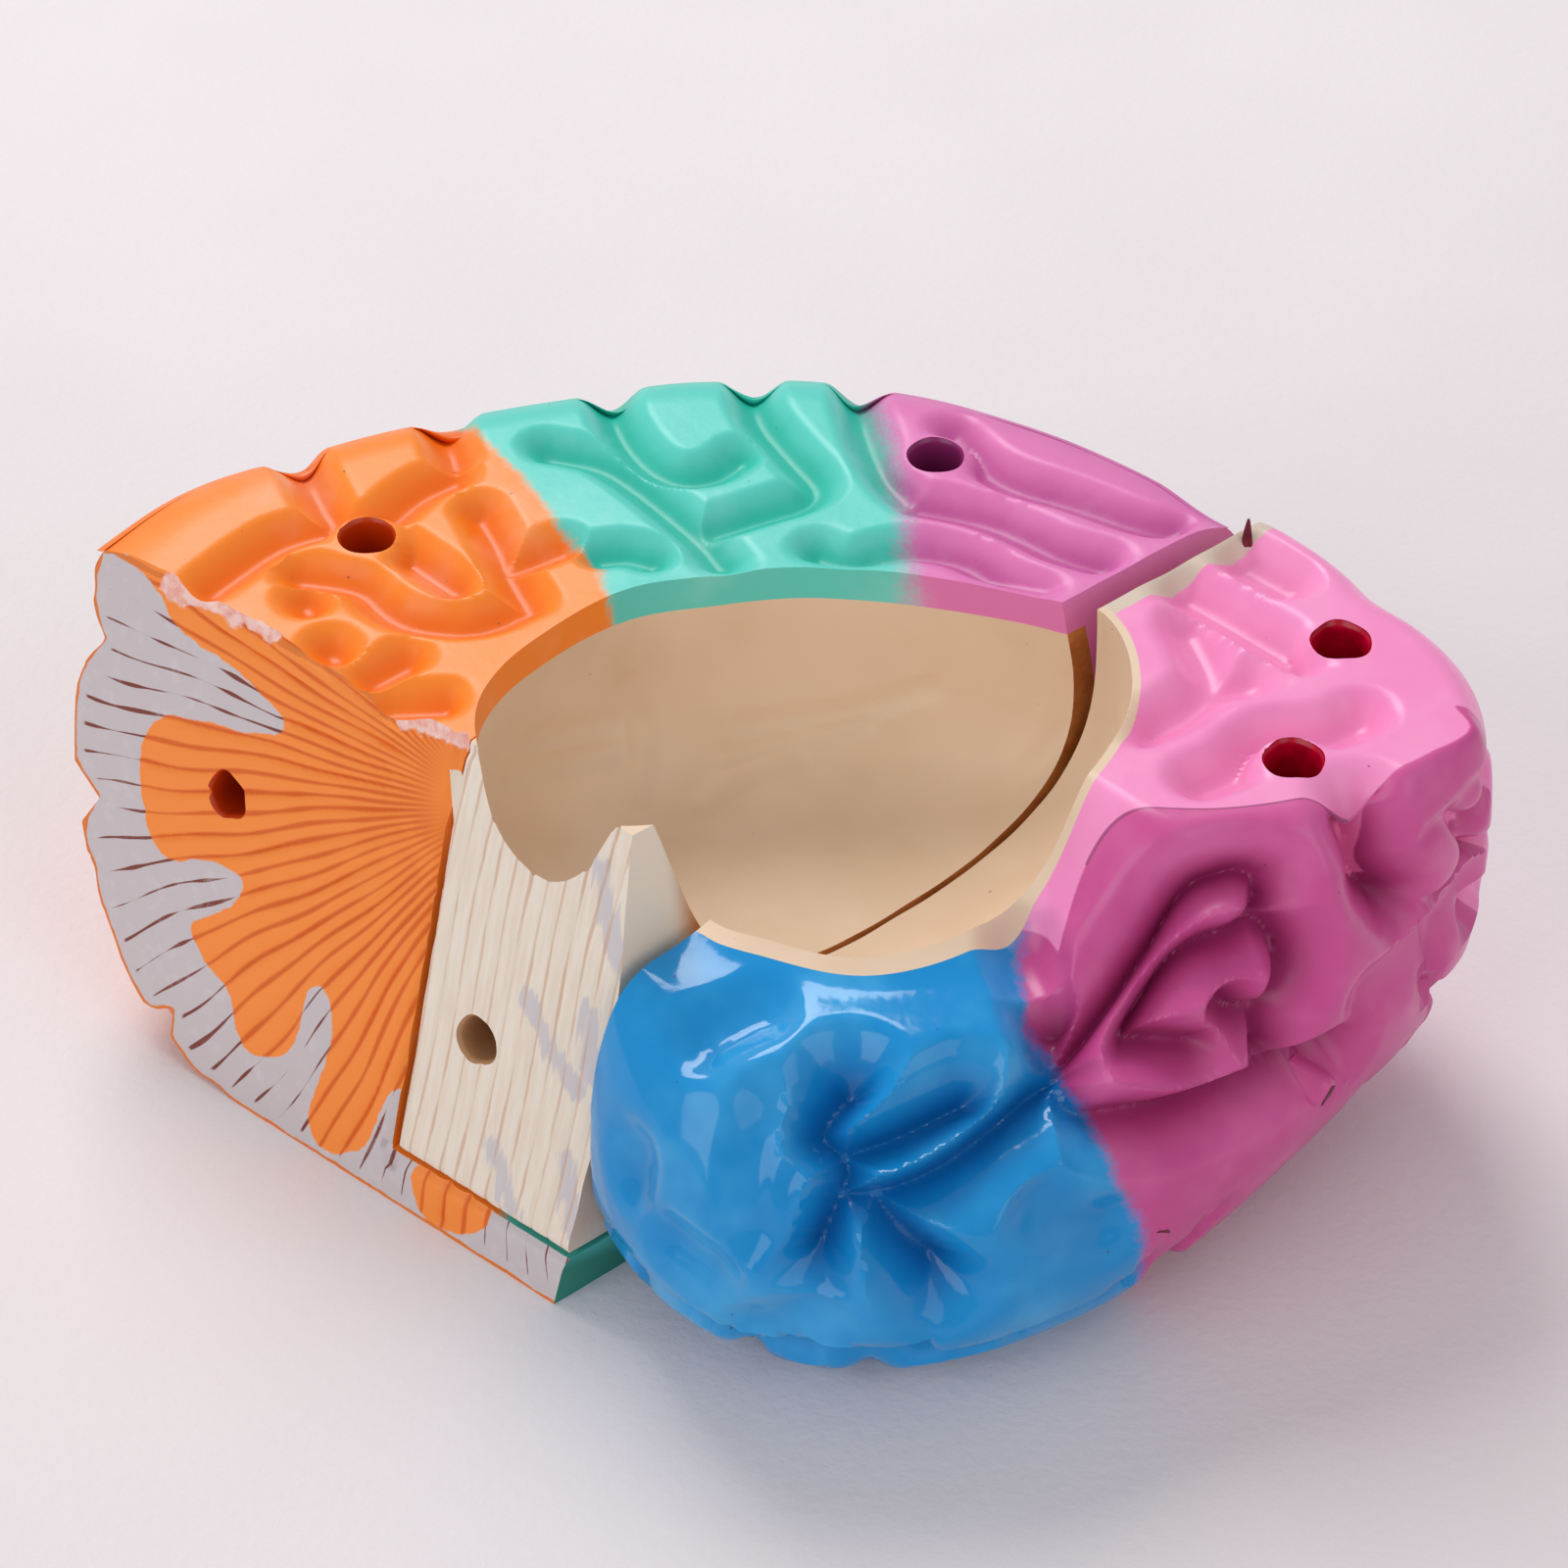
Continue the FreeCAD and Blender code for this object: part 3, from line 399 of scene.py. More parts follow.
def sheet_tool(name, grid, away, looks, marks, look):
    """A closed block whose front is a grid and whose flat back lies far behind it along a direction."""
    rows, columns = grid.shape[:2]
    index = np.arange(rows * columns).reshape(rows, columns)
    quads = np.stack([index[:-1, :-1], index[1:, :-1], index[1:, 1:], index[:-1, 1:]], -1).reshape(-1, 4)
    rim = np.concatenate([index[0, :-1], index[:-1, -1], index[-1, :0:-1], index[:0:-1, 0]])
    front = grid.reshape(-1, 3)
    away = np.asarray(away, float)
    level = (front @ away).max() + 150
    edge = front[rim]
    back = edge + (level - edge @ away)[:, None] * away
    points = np.vstack([front, back, back.mean(axis=0)])
    count = len(front)
    turn = np.arange(len(rim))
    beside = (turn + 1) % len(rim)
    walls = np.stack([rim[turn], rim[beside], count + beside, count + turn], -1)
    cap = np.stack([count + turn, count + beside, np.full(len(rim), count + len(rim))], -1)
    return make_mesh(name, points, [np.vstack([quads, walls]), cap], looks, marks, None, look)


def bowl_grid(steps, rows, reach, floor_z, top_z, power, thinned=0.0):
    """Bowl or hollow: the rim outline widened by reach, drawn in towards the floor by a power of a sine,
    its height from a power of the cosine. Towards the rim the reach falls by the thinned amount."""
    angle = np.linspace(0, 2 * np.pi, steps, endpoint=False)
    q = np.pi / 2 * (0.12 + 0.88 * np.linspace(0, 1, rows))
    reach = reach - thinned * (1 - smooth(np.cos(q) / 0.5))[None, :]
    radius = (radius_at(angle, BOWL_RIM, BOWL_CENTRE)[:, None] + reach) * np.sin(q)[None, :] ** power
    base = 1 - math.cos(np.pi / 2 * 0.12) ** 0.55
    z = floor_z + (top_z - floor_z) * (1 - np.maximum(np.cos(q), 0) ** 0.55 - base) / (1 - base)
    return np.stack([BOWL_CENTRE[0] + radius * np.cos(angle)[:, None],
                     BOWL_CENTRE[1] + radius * np.sin(angle)[:, None],
                     np.broadcast_to(z[None, :], radius.shape)], -1)


def lathed(name, foot, axis, along, radii, ragged, looks, marks, look):
    """A closed turned shape: rings of given radii at given places along an axis, wavering a little."""
    axis = np.asarray(axis, float)
    side = unit(np.cross(axis, [1.0, 0, 0] if abs(axis[0]) < 0.8 else [0, 1.0, 0]))
    other = np.cross(axis, side)
    angle = np.linspace(0, 2 * np.pi, 64, endpoint=False)[:, None]
    along = np.asarray(along, float)[None, :]
    waver = 1 + ragged * (np.sin(3 * angle + 1) + 0.6 * np.sin(5 * angle + along / 3))
    rings = np.asarray(radii, float)[None, :] * waver
    spoke = np.cos(angle)[..., None] * side + np.sin(angle)[..., None] * other
    grid = np.asarray(foot) + rings[..., None] * spoke + along[..., None] * axis
    return closed_tube(name, grid, looks, marks, None, look)


def socket(mouth, axis, radius, ragged, looks, marks, look):
    """What a peg socket takes away: a bore 12 mm deep with a rounded mouth and a pointed end."""
    along = [3.0, 0.6, 0.2, 0.0, -0.15, -0.35, -0.7, -1.5, -4, -8, -12, -13, -13.45]
    swing = [1.16, 1.16, 1.15, 1.11, 1.06, 1.02, 1.0, 1.0, 1.0, 1.0, 1.0, 0.4, 0.05]
    return lathed("socket_tool", mouth, axis, along, radius * np.array(swing), ragged, looks, marks, look)


def carve(piece, tool, operation="DIFFERENCE"):
    """One cut of a closed piece by a closed tool, which is then thrown away."""
    cut = piece.modifiers.new("cut", "BOOLEAN")
    cut.operation = operation
    cut.solver = "MANIFOLD"
    cut.object = tool
    bpy.context.view_layer.update()
    shaped = piece.evaluated_get(bpy.context.evaluated_depsgraph_get())
    mesh = bpy.data.meshes.new_from_object(shaped)
    old = piece.data
    piece.modifiers.clear()
    piece.data = mesh
    bpy.data.meshes.remove(old)
    spent = tool.data
    bpy.data.objects.remove(tool)
    bpy.data.meshes.remove(spent)


def finish_piece(piece, looks, node, sharp_degrees=38):
    """Keeps the piece in its node's box, gives it its own finishes and marks the edges to shade sharp."""
    mesh = piece.data
    low, high = [np.array(corner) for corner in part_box(node)]
    place = np.empty(len(mesh.vertices) * 3, np.float32)
    mesh.vertices.foreach_get("co", place)
    place = np.clip(place.reshape(-1, 3), low, high)
    mesh.vertices.foreach_set("co", place.ravel())
    index = np.empty(len(mesh.polygons), np.int32)
    mesh.polygons.foreach_get("material_index", index)
    mesh.materials.clear()
    for finish in looks:
        mesh.materials.append(finish)
    mesh.polygons.foreach_set("material_index", np.minimum(index, len(looks) - 1))
    mesh.polygons.foreach_set("use_smooth", np.ones(len(mesh.polygons), bool))
    mesh.set_sharp_from_angle(angle=math.radians(sharp_degrees))
    mesh.update()


def linear(code):
    """A colour written as sRGB hex, as the linear RGBA that the shaders take."""
    parts = [int(code[k:k + 2], 16) / 255 for k in (1, 3, 5)]
    return [p / 12.92 if p <= 0.04045 else ((p + 0.055) / 1.055) ** 2.4 for p in parts] + [1.0]


def add(tree, kind, inputs, output=0, **settings):
    """Adds a node: its settings by name, then its inputs by place or name, each a number, a hex colour or an
    output of another node. Gives back one of its outputs."""
    node = tree.nodes.new("ShaderNode" + kind)
    for key, value in settings.items():
        setattr(node, key, value)
    for key, value in inputs.items():
        if isinstance(value, bpy.types.NodeSocket):
            tree.links.new(value, node.inputs[key])
        else:
            node.inputs[key].default_value = linear(value) if isinstance(value, str) else value
    return node.outputs[output]


def sums(tree, operation, *values):
    """One step of arithmetic in a shader."""
    return add(tree, "Math", dict(enumerate(values)), operation=operation)


def ramp(tree, *values):
    """A smooth step in a shader: a value, where it starts and where it is full, and what it gives there."""
    return add(tree, "MapRange", dict(enumerate(values)), interpolation_type="SMOOTHSTEP")


def new_finish(name, roughness, marks="", **grains):
    """A material whose uniform values sit on its surface shader, with what its pattern is made from: marks
    read from the mesh, and noise on Object coordinates with features of a real size in millimetres, a
    detail and a roughness."""
    material = bpy.data.materials.new(name)
    material.use_nodes = True
    tree = material.node_tree
    shader = tree.nodes["Principled BSDF"]
    for key, value in (("Roughness", roughness), ("IOR", 1.46), ("Specular IOR Level", 0.4)):
        shader.inputs[key].default_value = value
    source = {mark: add(tree, "Attribute", {}, "Fac", attribute_name=mark) for mark in marks.split()}
    place = add(tree, "TexCoord", {}, "Object")
    for grain, (millimetres, detail, *rough) in grains.items():
        rough = rough[0] if rough else 0.6
        source[grain] = add(tree, "TexNoise", {
            "Vector": place, "Scale": 1000 / millimetres, "Detail": detail, "Roughness": rough})
    return material, tree, source


def layered(tree, source, body, layers):
    """Paints layers over a colour. A layer is what drives it, the values where it starts and is full, its
    strength, its colour and, where its edge is shaken, a noise and how far that shakes it."""
    for driver, start, full, strength, colour, *shaken in layers:
        value = source.get(driver, driver)
        if shaken:
            value = sums(tree, "MULTIPLY_ADD", source[shaken[0]], shaken[1], value)
        share = ramp(tree, value, start, full, 0.0, strength)
        body = add(tree, "Mix", {0: share, 6: body, 7: colour}, 2, data_type="RGBA")
    return body


def coat(tree, body, height=None, millimetres=0.0):
    """Gives the surface its colour and, from a height of 0 to 1, a bump of a real depth."""
    inputs = tree.nodes["Principled BSDF"].inputs
    tree.links.new(body, inputs["Base Color"])
    if height:
        bump = add(tree, "Bump", {"Height": height, "Distance": millimetres / 1000, "Strength": 1.0})
        tree.links.new(bump, inputs["Normal"])


# Satin airbrushed lacquer over PVC: even colour on the crests, darker colour in the furrows as painted
# shade, a soft oversprayed border between two colours, a few dark specks and a broken sheen.
cortex_paint, tree, source = new_finish(
    "satin_airbrushed_lacquer_on_pvc", 0.36, "teal mauve furrow across down", drift=(9.0, 2.0),
    teal_spray=(0.8, 4.0, 0.75), mauve_spray=(0.6, 4.0, 0.75), runs=(5.0, 3.0), cloud=(14.0, 4.0),
    specks=(1.1, 1.0), peel=(1.6, 3.0))
teal_edge = sums(tree, "MULTIPLY_ADD", source["drift"], 3.0, source["teal"])
mauve_edge = sums(tree, "MULTIPLY_ADD", source["drift"], 3.0, source["mauve"])
# The second set of colours, the hollow colours, is painted shade: the furrow layer lays it into the furrows
# where shade falls, and the runs noise only shakes the edge of that shade.
crest, hollow = [
    layered(tree, source, orange, [(teal_edge, 1.9, 4.1, 1.0, teal, "teal_spray", 3.0),
                                   (mauve_edge, 1.4, 6.6, 1.0, mauve, "mauve_spray", 5.0)])
    for orange, teal, mauve in (("#FF8C2C", "#5FD4C6", "#E47CBA"), ("#F3700C", "#1FBAA4", "#C2569A"))]
strip_end = ramp(tree, source["across"], 70.0, 76.0)
body = layered(tree, source, crest, [
    ("furrow", 0.25, 1.0, 1.0, hollow, "runs", 0.3),
    ("cloud", 0.5, 0.8, 0.1, "#FFFFFF"),
    ("down", 52.0, 56.0, strip_end, "#2F8F78"),
    ("specks", 0.79, 0.83, 0.6, "#4A2A2A")])
coat(tree, body, source["peel"], 0.04)

# The same PVC where the mould face cut it: orange white matter with darker lacquer run into the fan of
# grooves, a grey brushed border with brown strokes, and pale scars where the lacquer has chipped off.
cut_paint, tree, source = new_finish(
    "brushed_orange_and_grey_lacquer", 0.42, "orange fan reach rim scar", wobble=(3.0, 3.0),
    line_wear=(8.0, 1.0), stroke_wear=(7.0, 1.0), brushing=(2.2, 5.0), chips=(2.5, 4.0), chalk=(1.3, 4.0),
    tooth=(0.8, 4.0))
off_line = sums(tree, "PINGPONG", source["fan"], 0.5)
width = sums(tree, "MULTIPLY", off_line, source["reach"])
far = ramp(tree, source["reach"], 6.0, 14.0)
inner = ramp(tree, source["rim"], 1.3, 1.9)
orange = layered(tree, source, "#FF9038", [(width, 12.0, 5.0, far, "#E3640F", "line_wear", 9.0)])
grey = layered(tree, source, "#CDC3C5", [
    (width, 11.0, 9.5, inner, "#7E3A2C", "stroke_wear", 16.0), ("brushing", 0.5, 0.75, 0.25, "#E6E0E2")])
scar_tone = layered(tree, source, "#FAD2C8", [("chalk", 0.4, 0.65, 1.0, "#F4AE9C")])
body = layered(tree, source, orange, [
    ("orange", 0.5, 0.7, 1.0, grey, "wobble", 1.2),
    ("rim", 0.75, 0.6, 1.0, "#E57B2E", "wobble", 0.6),
    ("scar", 3.9, 3.4, 1.0, scar_tone, "chips", 3.4)])
coat(tree, body, source["tooth"], 0.05)

# Inside a socket the dark colour is painted shade of the deep hole: red-orange, and purple where x is above
# nought, beside the mauve paint.
socket_shade_paint, tree, source = new_finish("painted_shade_in_sockets", 0.3)
along = add(tree, "SeparateXYZ", {0: add(tree, "TexCoord", {}, "Object")})
body = layered(tree, source, "#C63A06", [(along, -0.02, 0.0, 1.0, "#8C2A66")])
coat(tree, body)

cortex_looks = [cortex_paint, cut_paint, socket_shade_paint]
painted = (cortex_looks, paint_marks)
FRONTAL_OUTLINES = (FRONTAL_MARGIN, FRONTAL_WIDEST, FRONTAL_PATCH)
MEDIAL_ROUTES = [[(x, y, MIDLINE_Z) for x, y in route] for route in MEDIAL_FURROWS]
EDGE_ENDS = [(-64, 18), (-47, 32), (-29, 37), (-13, 44), (0, 45)]
MEDIAL_ROUTES += [[(x, y, MIDLINE_Z), (x * 1.03, y * 1.03, MIDLINE_Z - 12)] for x, y in EDGE_ENDS]


def notch_route(across, down):
    """Furrow that nicks the edge of the cut face: from just before the face into the section and outwards."""
    start = face_point(across, down)
    outward = unit(start - face_point(50, 25))
    return [start + CUT_NORMAL * 2, start - CUT_NORMAL * 15 + outward * 5]


NOTCH_ROUTES = [notch_route(*place) for place in EDGE_NOTCHES]
FRONTAL_SOCKETS = [(-48.7, 1), (11.8, 29.3)]


def level_rims(grid, places, side):
    """Share of the furrows left: none round the sockets, at the bowl's rim or at the seam, whose edges
    stay level, and all of them farther away. Side is -1 on the frontal side of the seam and 1 beyond it."""
    left = np.ones(grid.shape[:-1])
    for x, y in places:
        gap = np.linalg.norm(grid - np.array([x, y, MIDLINE_Z]), axis=-1)
        left = np.minimum(left, smooth((gap - 3.3) / 2.4))
    off_seam = (grid - SEAM_FOOT) @ SEAM_NORMAL * side
    lean = -side * SEAM_SLOPES[side] * (MIDLINE_Z - BOWL_FLOOR_Z)
    rim = gap_to(grid[..., :2], eased(np.vstack([BOWL_RIM, BOWL_RIM[:1]])))
    return left * smooth((off_seam - lean) / 3.5) * (0.15 + 0.85 * smooth(rim / 4.0))


def rows_over(counts):
    """Rows of a skin: over the face from its hub, down the side and in under it."""
    return np.concatenate([part + np.arange(count + part // 2) / count for part, count in enumerate(counts)])


def faded(depth, row):
    """A depth that fades out at the hub and at the patch underneath."""
    return depth * (smooth(row / 0.1) * smooth((3 - row) / 0.25))[None, :]


def frontal_skin(steps, counts):
    """The folded skin: the plain profile let in along its normal by the furrows, and slightly uneven."""
    angle = np.linspace(0, 2 * np.pi, steps, endpoint=False)
    row = rows_over(counts)
    level = np.full(steps, MIDLINE_Z)
    grid = skin_profile(angle, row, FRONTAL_CENTRE, FRONTAL_OUTLINES, level, np.full(steps, 42.0))
    shown = furrows(grid, MEDIAL_ROUTES, depth=2.7, reach=3.4, crease=0.3)
    shown = shown * level_rims(grid, FRONTAL_SOCKETS, -1)
    notch = furrows(grid, NOTCH_ROUTES, depth=3.2, reach=4.6, crease=0.3)
    hidden = hidden_folds(grid) * smooth((MIDLINE_Z - 5 - grid[..., 2]) / 8)
    depth = np.maximum(np.maximum(shown, notch), hidden)
    depth = depth + 1.9 * np.clip(1 - (1 - row) * 6.5, 0, 1) ** 2 * (1 - smooth((row - 1.15) / 0.7))
    uneven = np.minimum(0.25 * (swell(grid, 17.0, 1) - 0.9), 0)
    moved = grid - outward_of(grid) * faded(depth - uneven, row)[..., None]
    return moved, faded(depth, row) / 3.6


def brow_edge(grid):
    """Outline of the cut face: where each line of the skin from the margin down crosses the cut plane."""
    out = (grid - CUT_POINT) @ CUT_NORMAL
    found = []
    for line, height in zip(grid, out):
        for k in np.nonzero(height[:-1] * height[1:] < 0)[0]:
            share = height[k] / (height[k] - height[k + 1])
            found.append(line[k] * (1 - share) + line[k + 1] * share - CUT_POINT)
    found = np.array(found)
    spots = np.stack([found @ CUT_ACROSS, found @ CUT_DOWN], -1)
    spots = spots[(spots[:, 1] > 1.0) | (spots[:, 0] < 1.5)]
    middle = np.array([50.0, 20.0])
    away = spots - middle
    return spots[np.argsort(np.arctan2(away[:, 1], -away[:, 0]))]


skin_grid, skin_furrow = frontal_skin(600, (96, 62, 18))
BROW_EDGE = brow_edge(skin_grid)
frontal_cortex = closed_tube("frontal_parietal_painted_cortex", skin_grid, *painted, skin_furrow)


def seam_tool(side, looks, marks, look=0):
    """What lies beyond a section's seam face, which wavers slightly: upright below the bowl floor and leaning
    above it. Side is -1 for the frontal section and 1 for the temporal one."""
    station = np.linspace(-110, 110, 221)[:, None]
    height = np.linspace(-12, 80, 62)[None, :]
    flat = np.stack(np.broadcast_arrays(station, height, 0.0), -1)
    lean = SEAM_SLOPES[side] * np.maximum(height - BOWL_FLOOR_Z, 0)
    out = side * SEAM_HALF_GAP - lean + 0.12 * swell(flat, 7.0, 11 - side)
    grid = seam_point(*np.broadcast_arrays(station, height, out))
    return sheet_tool("seam_tool", grid, SEAM_NORMAL * -side, looks, marks, look)


def cut_tool(looks, marks, look):
    """The frontal cut as a sheet with the relief of its grooves."""
    across = np.linspace(-12, 96, 280)[:, None]
    down = np.linspace(-12, 72, 210)[None, :]
    across, down = np.broadcast_arrays(across, down)
    grid = face_point(across, down, -cut_relief(across, down))
    return sheet_tool("cut_tool", grid, CUT_NORMAL, looks, marks, look)


def block_tool(margin, looks, marks, look=0):
    """The insula block: its outline on the cut face carried level into the section."""
    corners = [(BLOCK_LEFT + 1, -4), (BLOCK_LEFT - margin, 12), (BLOCK_LEFT - margin, BLOCK_BOTTOM + margin),
               (BLOCK_RIGHT, BLOCK_BOTTOM + margin), (BLOCK_RIGHT, -4)]
    front = np.array([face_point(*corner) for corner in corners])
    inward = unit(-CUT_NORMAL * np.array([1, 1, 0]))
    points = np.vstack([front - inward * 2, front + inward * BLOCK_DEPTH])
    points = np.vstack([points, points[:5].mean(axis=0), points[5:].mean(axis=0)])
    turn = np.arange(5)
    beside = (turn + 1) % 5
    walls = np.stack([turn, beside, beside + 5, turn + 5], -1)
    near_cap = np.stack([beside, turn, np.full(5, 10)], -1)
    caps = np.vstack([near_cap, np.stack([turn + 5, beside + 5, np.full(5, 11)], -1)])
    return make_mesh("block_tool", points, [walls, caps], looks, marks, None, look)


CREASES = [
    [(-17.5, -3.5, 44.6), (-15.0, -5.0, 37.5), (-15.1, -9.9, 34.2)],
    [(-4.7, 0.6, 37.6), (6.1, 3.9, 38.3), (15.9, 6.0, 42.6)],
    [(-25.6, -15.1, 44.9), (-22.2, -10.2, 42.5), (-18.5, -6.1, 41.0)],
    [(-27.1, -20.4, 43.7), (-23.0, -13.4, 40.4), (-18.2, -7.8, 38.4)],
    [(-5.9, -2.4, 34.9), (1.2, 1.3, 36.1), (8.3, 3.6, 37.8)],
    [(-7.8, -7.6, 32.1), (-5.7, -4.2, 33.3), (1.4, 0.1, 34.6)]]


def bowl_tool(looks, marks):
    """The bowl with faint raised creases, as its own surface moved out by a bell across each crease."""
    grid = bowl_grid(420, 120, 0.0, BOWL_FLOOR_Z, MIDLINE_Z + 2, 0.75)
    crease = furrows(grid, CREASES, depth=0.4, reach=1.6, crease=0.5) - 0.12 * swell(grid, 22.0, 8)
    return closed_tube("bowl_tool", grid - outward_of(grid) * crease[..., None], looks, marks)


frontal_hollow = bowl_grid(220, 60, CORE_REACH, CORE_BASE_Z, MIDLINE_Z - SLAB_THICKNESS, 0.35)
carve(frontal_cortex, seam_tool(-1, *painted))
carve(frontal_cortex, closed_tube("hollow_tool", frontal_hollow, *painted))
carve(frontal_cortex, block_tool(1.0, *painted))
carve(frontal_cortex, bowl_tool(*painted))
carve(frontal_cortex, cut_tool(*painted, 1))
for x, y in FRONTAL_SOCKETS:
    mouth = (x, y, MIDLINE_Z - FACE_SOCKET_SUNK)
    carve(frontal_cortex, socket(mouth, (0, 0, 1), FACE_SOCKET_RADIUS, 0.02, *painted, 2))
mouth = face_point(23.8, 22.9, -CUT_SOCKET_SUNK)
carve(frontal_cortex, socket(mouth, CUT_NORMAL, CUT_SOCKET_RADIUS, 0.06, *painted, 2))
finish_piece(frontal_cortex, cortex_looks, "frontal_parietal_cortex")
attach(frontal_cortex, "frontal_parietal_section")
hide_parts("frontal_parietal_cortex")


# Frontal-parietal core: the cream casting that lines the bowl and shows as the insula block on the cut face.
# It is the same PVC, self-coloured, and sits in the cortex casting with a hairline round the block.
cream, tree, source = new_finish(
    "self_coloured_cream_pvc_with_painted_glow", 0.4, "glow", warmth=(30.0, 3.0), smear=(6.0, 3.0), specks=(0.9, 1.0),
    peel=(2.5, 3.0))
# The glow layer is painted light: orange bounced light round the glow route, its edge shaken by noise.
body = layered(tree, source, "#E8CDB0", [
    ("warmth", 0.35, 0.7, 1.0, "#DEC0A0"),
    ("glow", 15.0, 7.0, 0.8, "#E8842F", "smear", 4.0),
    ("specks", 0.8, 0.83, 0.5, "#6B4630")])
coat(tree, body, source["peel"], 0.03)

# The block's face is paler, with tan pencil-like grain in its grooves and thin grey-lilac brushed patches.
block_cream, tree, source = new_finish(
    "pale_cream_pvc_with_scribed_grain", 0.5, "across down lilac", tooth=(1.4, 4.0))
sway = sums(tree, "SINE", sums(tree, "DIVIDE", source["down"], 9.0))
lean = sums(tree, "MULTIPLY_ADD", source["down"], 0.04, source["across"])
lean = sums(tree, "MULTIPLY_ADD", sway, 0.5, lean)
off_grain = sums(tree, "PINGPONG", sums(tree, "DIVIDE", lean, GRAIN_PITCH), 0.5)
stretched = sums(tree, "MULTIPLY", source["down"], 0.1)
along = add(tree, "CombineXYZ", {0: source["across"], 1: stretched})
source["streak"] = add(tree, "TexNoise", {"Vector": along, "Scale": 1.1, "Detail": 3.0})
body = layered(tree, source, "#F2E6D6", [
    ("streak", 0.35, 0.7, 1.0, "#EBDCC8"),
    ("lilac", 4.2, 3.4, 0.75, "#C9C4CC", "streak", 5.0),
    (off_grain, 0.36, 0.24, 0.7, "#D3AC8C", "streak", 0.5)])
coat(tree, body, source["tooth"], 0.04)

# The seam face of the core is orange-brown: painted shade of the narrow seam gap, with the same painted
# orange glow as the cream. The inside of its socket is a darker tan: painted shade of the hole.
seam_gap_shade, tree, source = new_finish(
    "orange_brown_painted_seam_gap_shade", 0.45, "station glow", blotch=(5.0, 4.0), smear=(6.0, 3.0),
    tooth=(1.5, 3.0))
brown = layered(tree, source, "#C98142", [("blotch", 0.35, 0.7, 1.0, "#A8602A")])
body = layered(tree, source, "#F0DFC8", [
    ("station", -20.0, -16.0, 1.0, brown), ("glow", 15.0, 7.0, 0.8, "#E8842F", "smear", 4.0)])
coat(tree, body, source["tooth"], 0.06)
socket_shade_tan = new_finish("tan_painted_shade_in_cream_socket", 0.45)[0]
socket_shade_tan.node_tree.nodes["Principled BSDF"].inputs["Base Color"].default_value = linear("#C4956A")

core_looks = [cream, block_cream, seam_gap_shade, socket_shade_tan]
cored = (core_looks, paint_marks)
frontal_core = closed_tube("frontal_parietal_cream_core", frontal_hollow, *cored)
carve(frontal_core, block_tool(0.0, *cored), "UNION")
carve(frontal_core, closed_tube("skin_tool", skin_grid, *cored, skin_furrow), "INTERSECT")
carve(frontal_core, seam_tool(-1, *cored, 2))
carve(frontal_core, bowl_tool(*cored))
carve(frontal_core, cut_tool(*cored, 1))
mouth = face_point(64.6, 34.4, -CUT_SOCKET_SUNK)
carve(frontal_core, socket(mouth, CUT_NORMAL, CUT_SOCKET_RADIUS, 0.03, *cored, 3))
PIN_STATIONS = (16.0, -8.0)
PIN_Z = 17.0
PIN_SEAT = ([-12, 5], 2.0)
PIN_SOCKET = ([-5, 11.3], 2.05)


def pin_bores(piece, ends, radius, looks, marks):
    """The bores for the two locating pins, between two places along their axis."""
    for station in PIN_STATIONS:
        mouth = seam_point(station, PIN_Z, -SEAM_HALF_GAP)
        carve(piece, lathed("pin_tool", mouth, SEAM_NORMAL, ends, [radius, radius], 0.0, looks, marks, 0))


pin_bores(frontal_core, *PIN_SEAT, *cored)
finish_piece(frontal_core, core_looks, "frontal_parietal_core")
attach(frontal_core, "frontal_parietal_section")
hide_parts("frontal_parietal_core")


# Temporal-occipital cortex: the second painted casting, light pink on the midline face, magenta below it
# and glossy blue in front. It pulls off the first section along the seam.
TEMPORAL_CENTRE = (22.0, -12.0)
TEMPORAL_MARGIN = np.array([
    (10, 2), (30, 20), (48.7, 24), (53.5, 21), (58, 16.6), (60.5, 12.4), (67.2, 8.5), (72.2, 2.6),
    (75.6, -3.7), (77.5, -7.2), (73.3, -12.4), (65.3, -19.6), (53.4, -25.6), (44, -27.5), (39.5, -31),
    (37, -38), (31, -43), (23, -47), (15, -48.5), (7, -48), (0, -47), (-6, -44), (-14, -30)])
TEMPORAL_WIDEST = np.array([
    (4, 8), (28, 28), (50, 29), (58, 26), (66, 20), (74, 13), (79, 7), (81, 0), (80.5, -7), (77, -15),
    (71.5, -24), (65, -33), (58.5, -41), (52, -50), (44, -58.5), (34, -66), (21, -71), (9, -70), (0, -66),
    (-8, -58), (-14, -46), (-20, -30)])
TEMPORAL_PATCH = np.array([
    (8, -8), (22, 6), (42, 6), (52, -6), (50, -24), (38, -42), (22, -50), (8, -48), (-2, -36), (0, -20)])
OCCIPITAL_FURROWS = [
    [(41.3, 13), (47, 9.5), (52.6, 5.9), (58.1, 2.3)],
    [(46.9, 19.9), (54.7, 15.3)],
    [(45.1, 5.1), (48, -0.4), (49, -4.3), (46.4, -9.4), (42.5, -13.4)],
    [(49, -4.3), (52.8, -2.4)],
    [(50.2, -20.6), (53.8, -17.4), (55.2, -13.2), (57.4, -11.2), (63.2, -9.4), (65.4, -6.6)]]
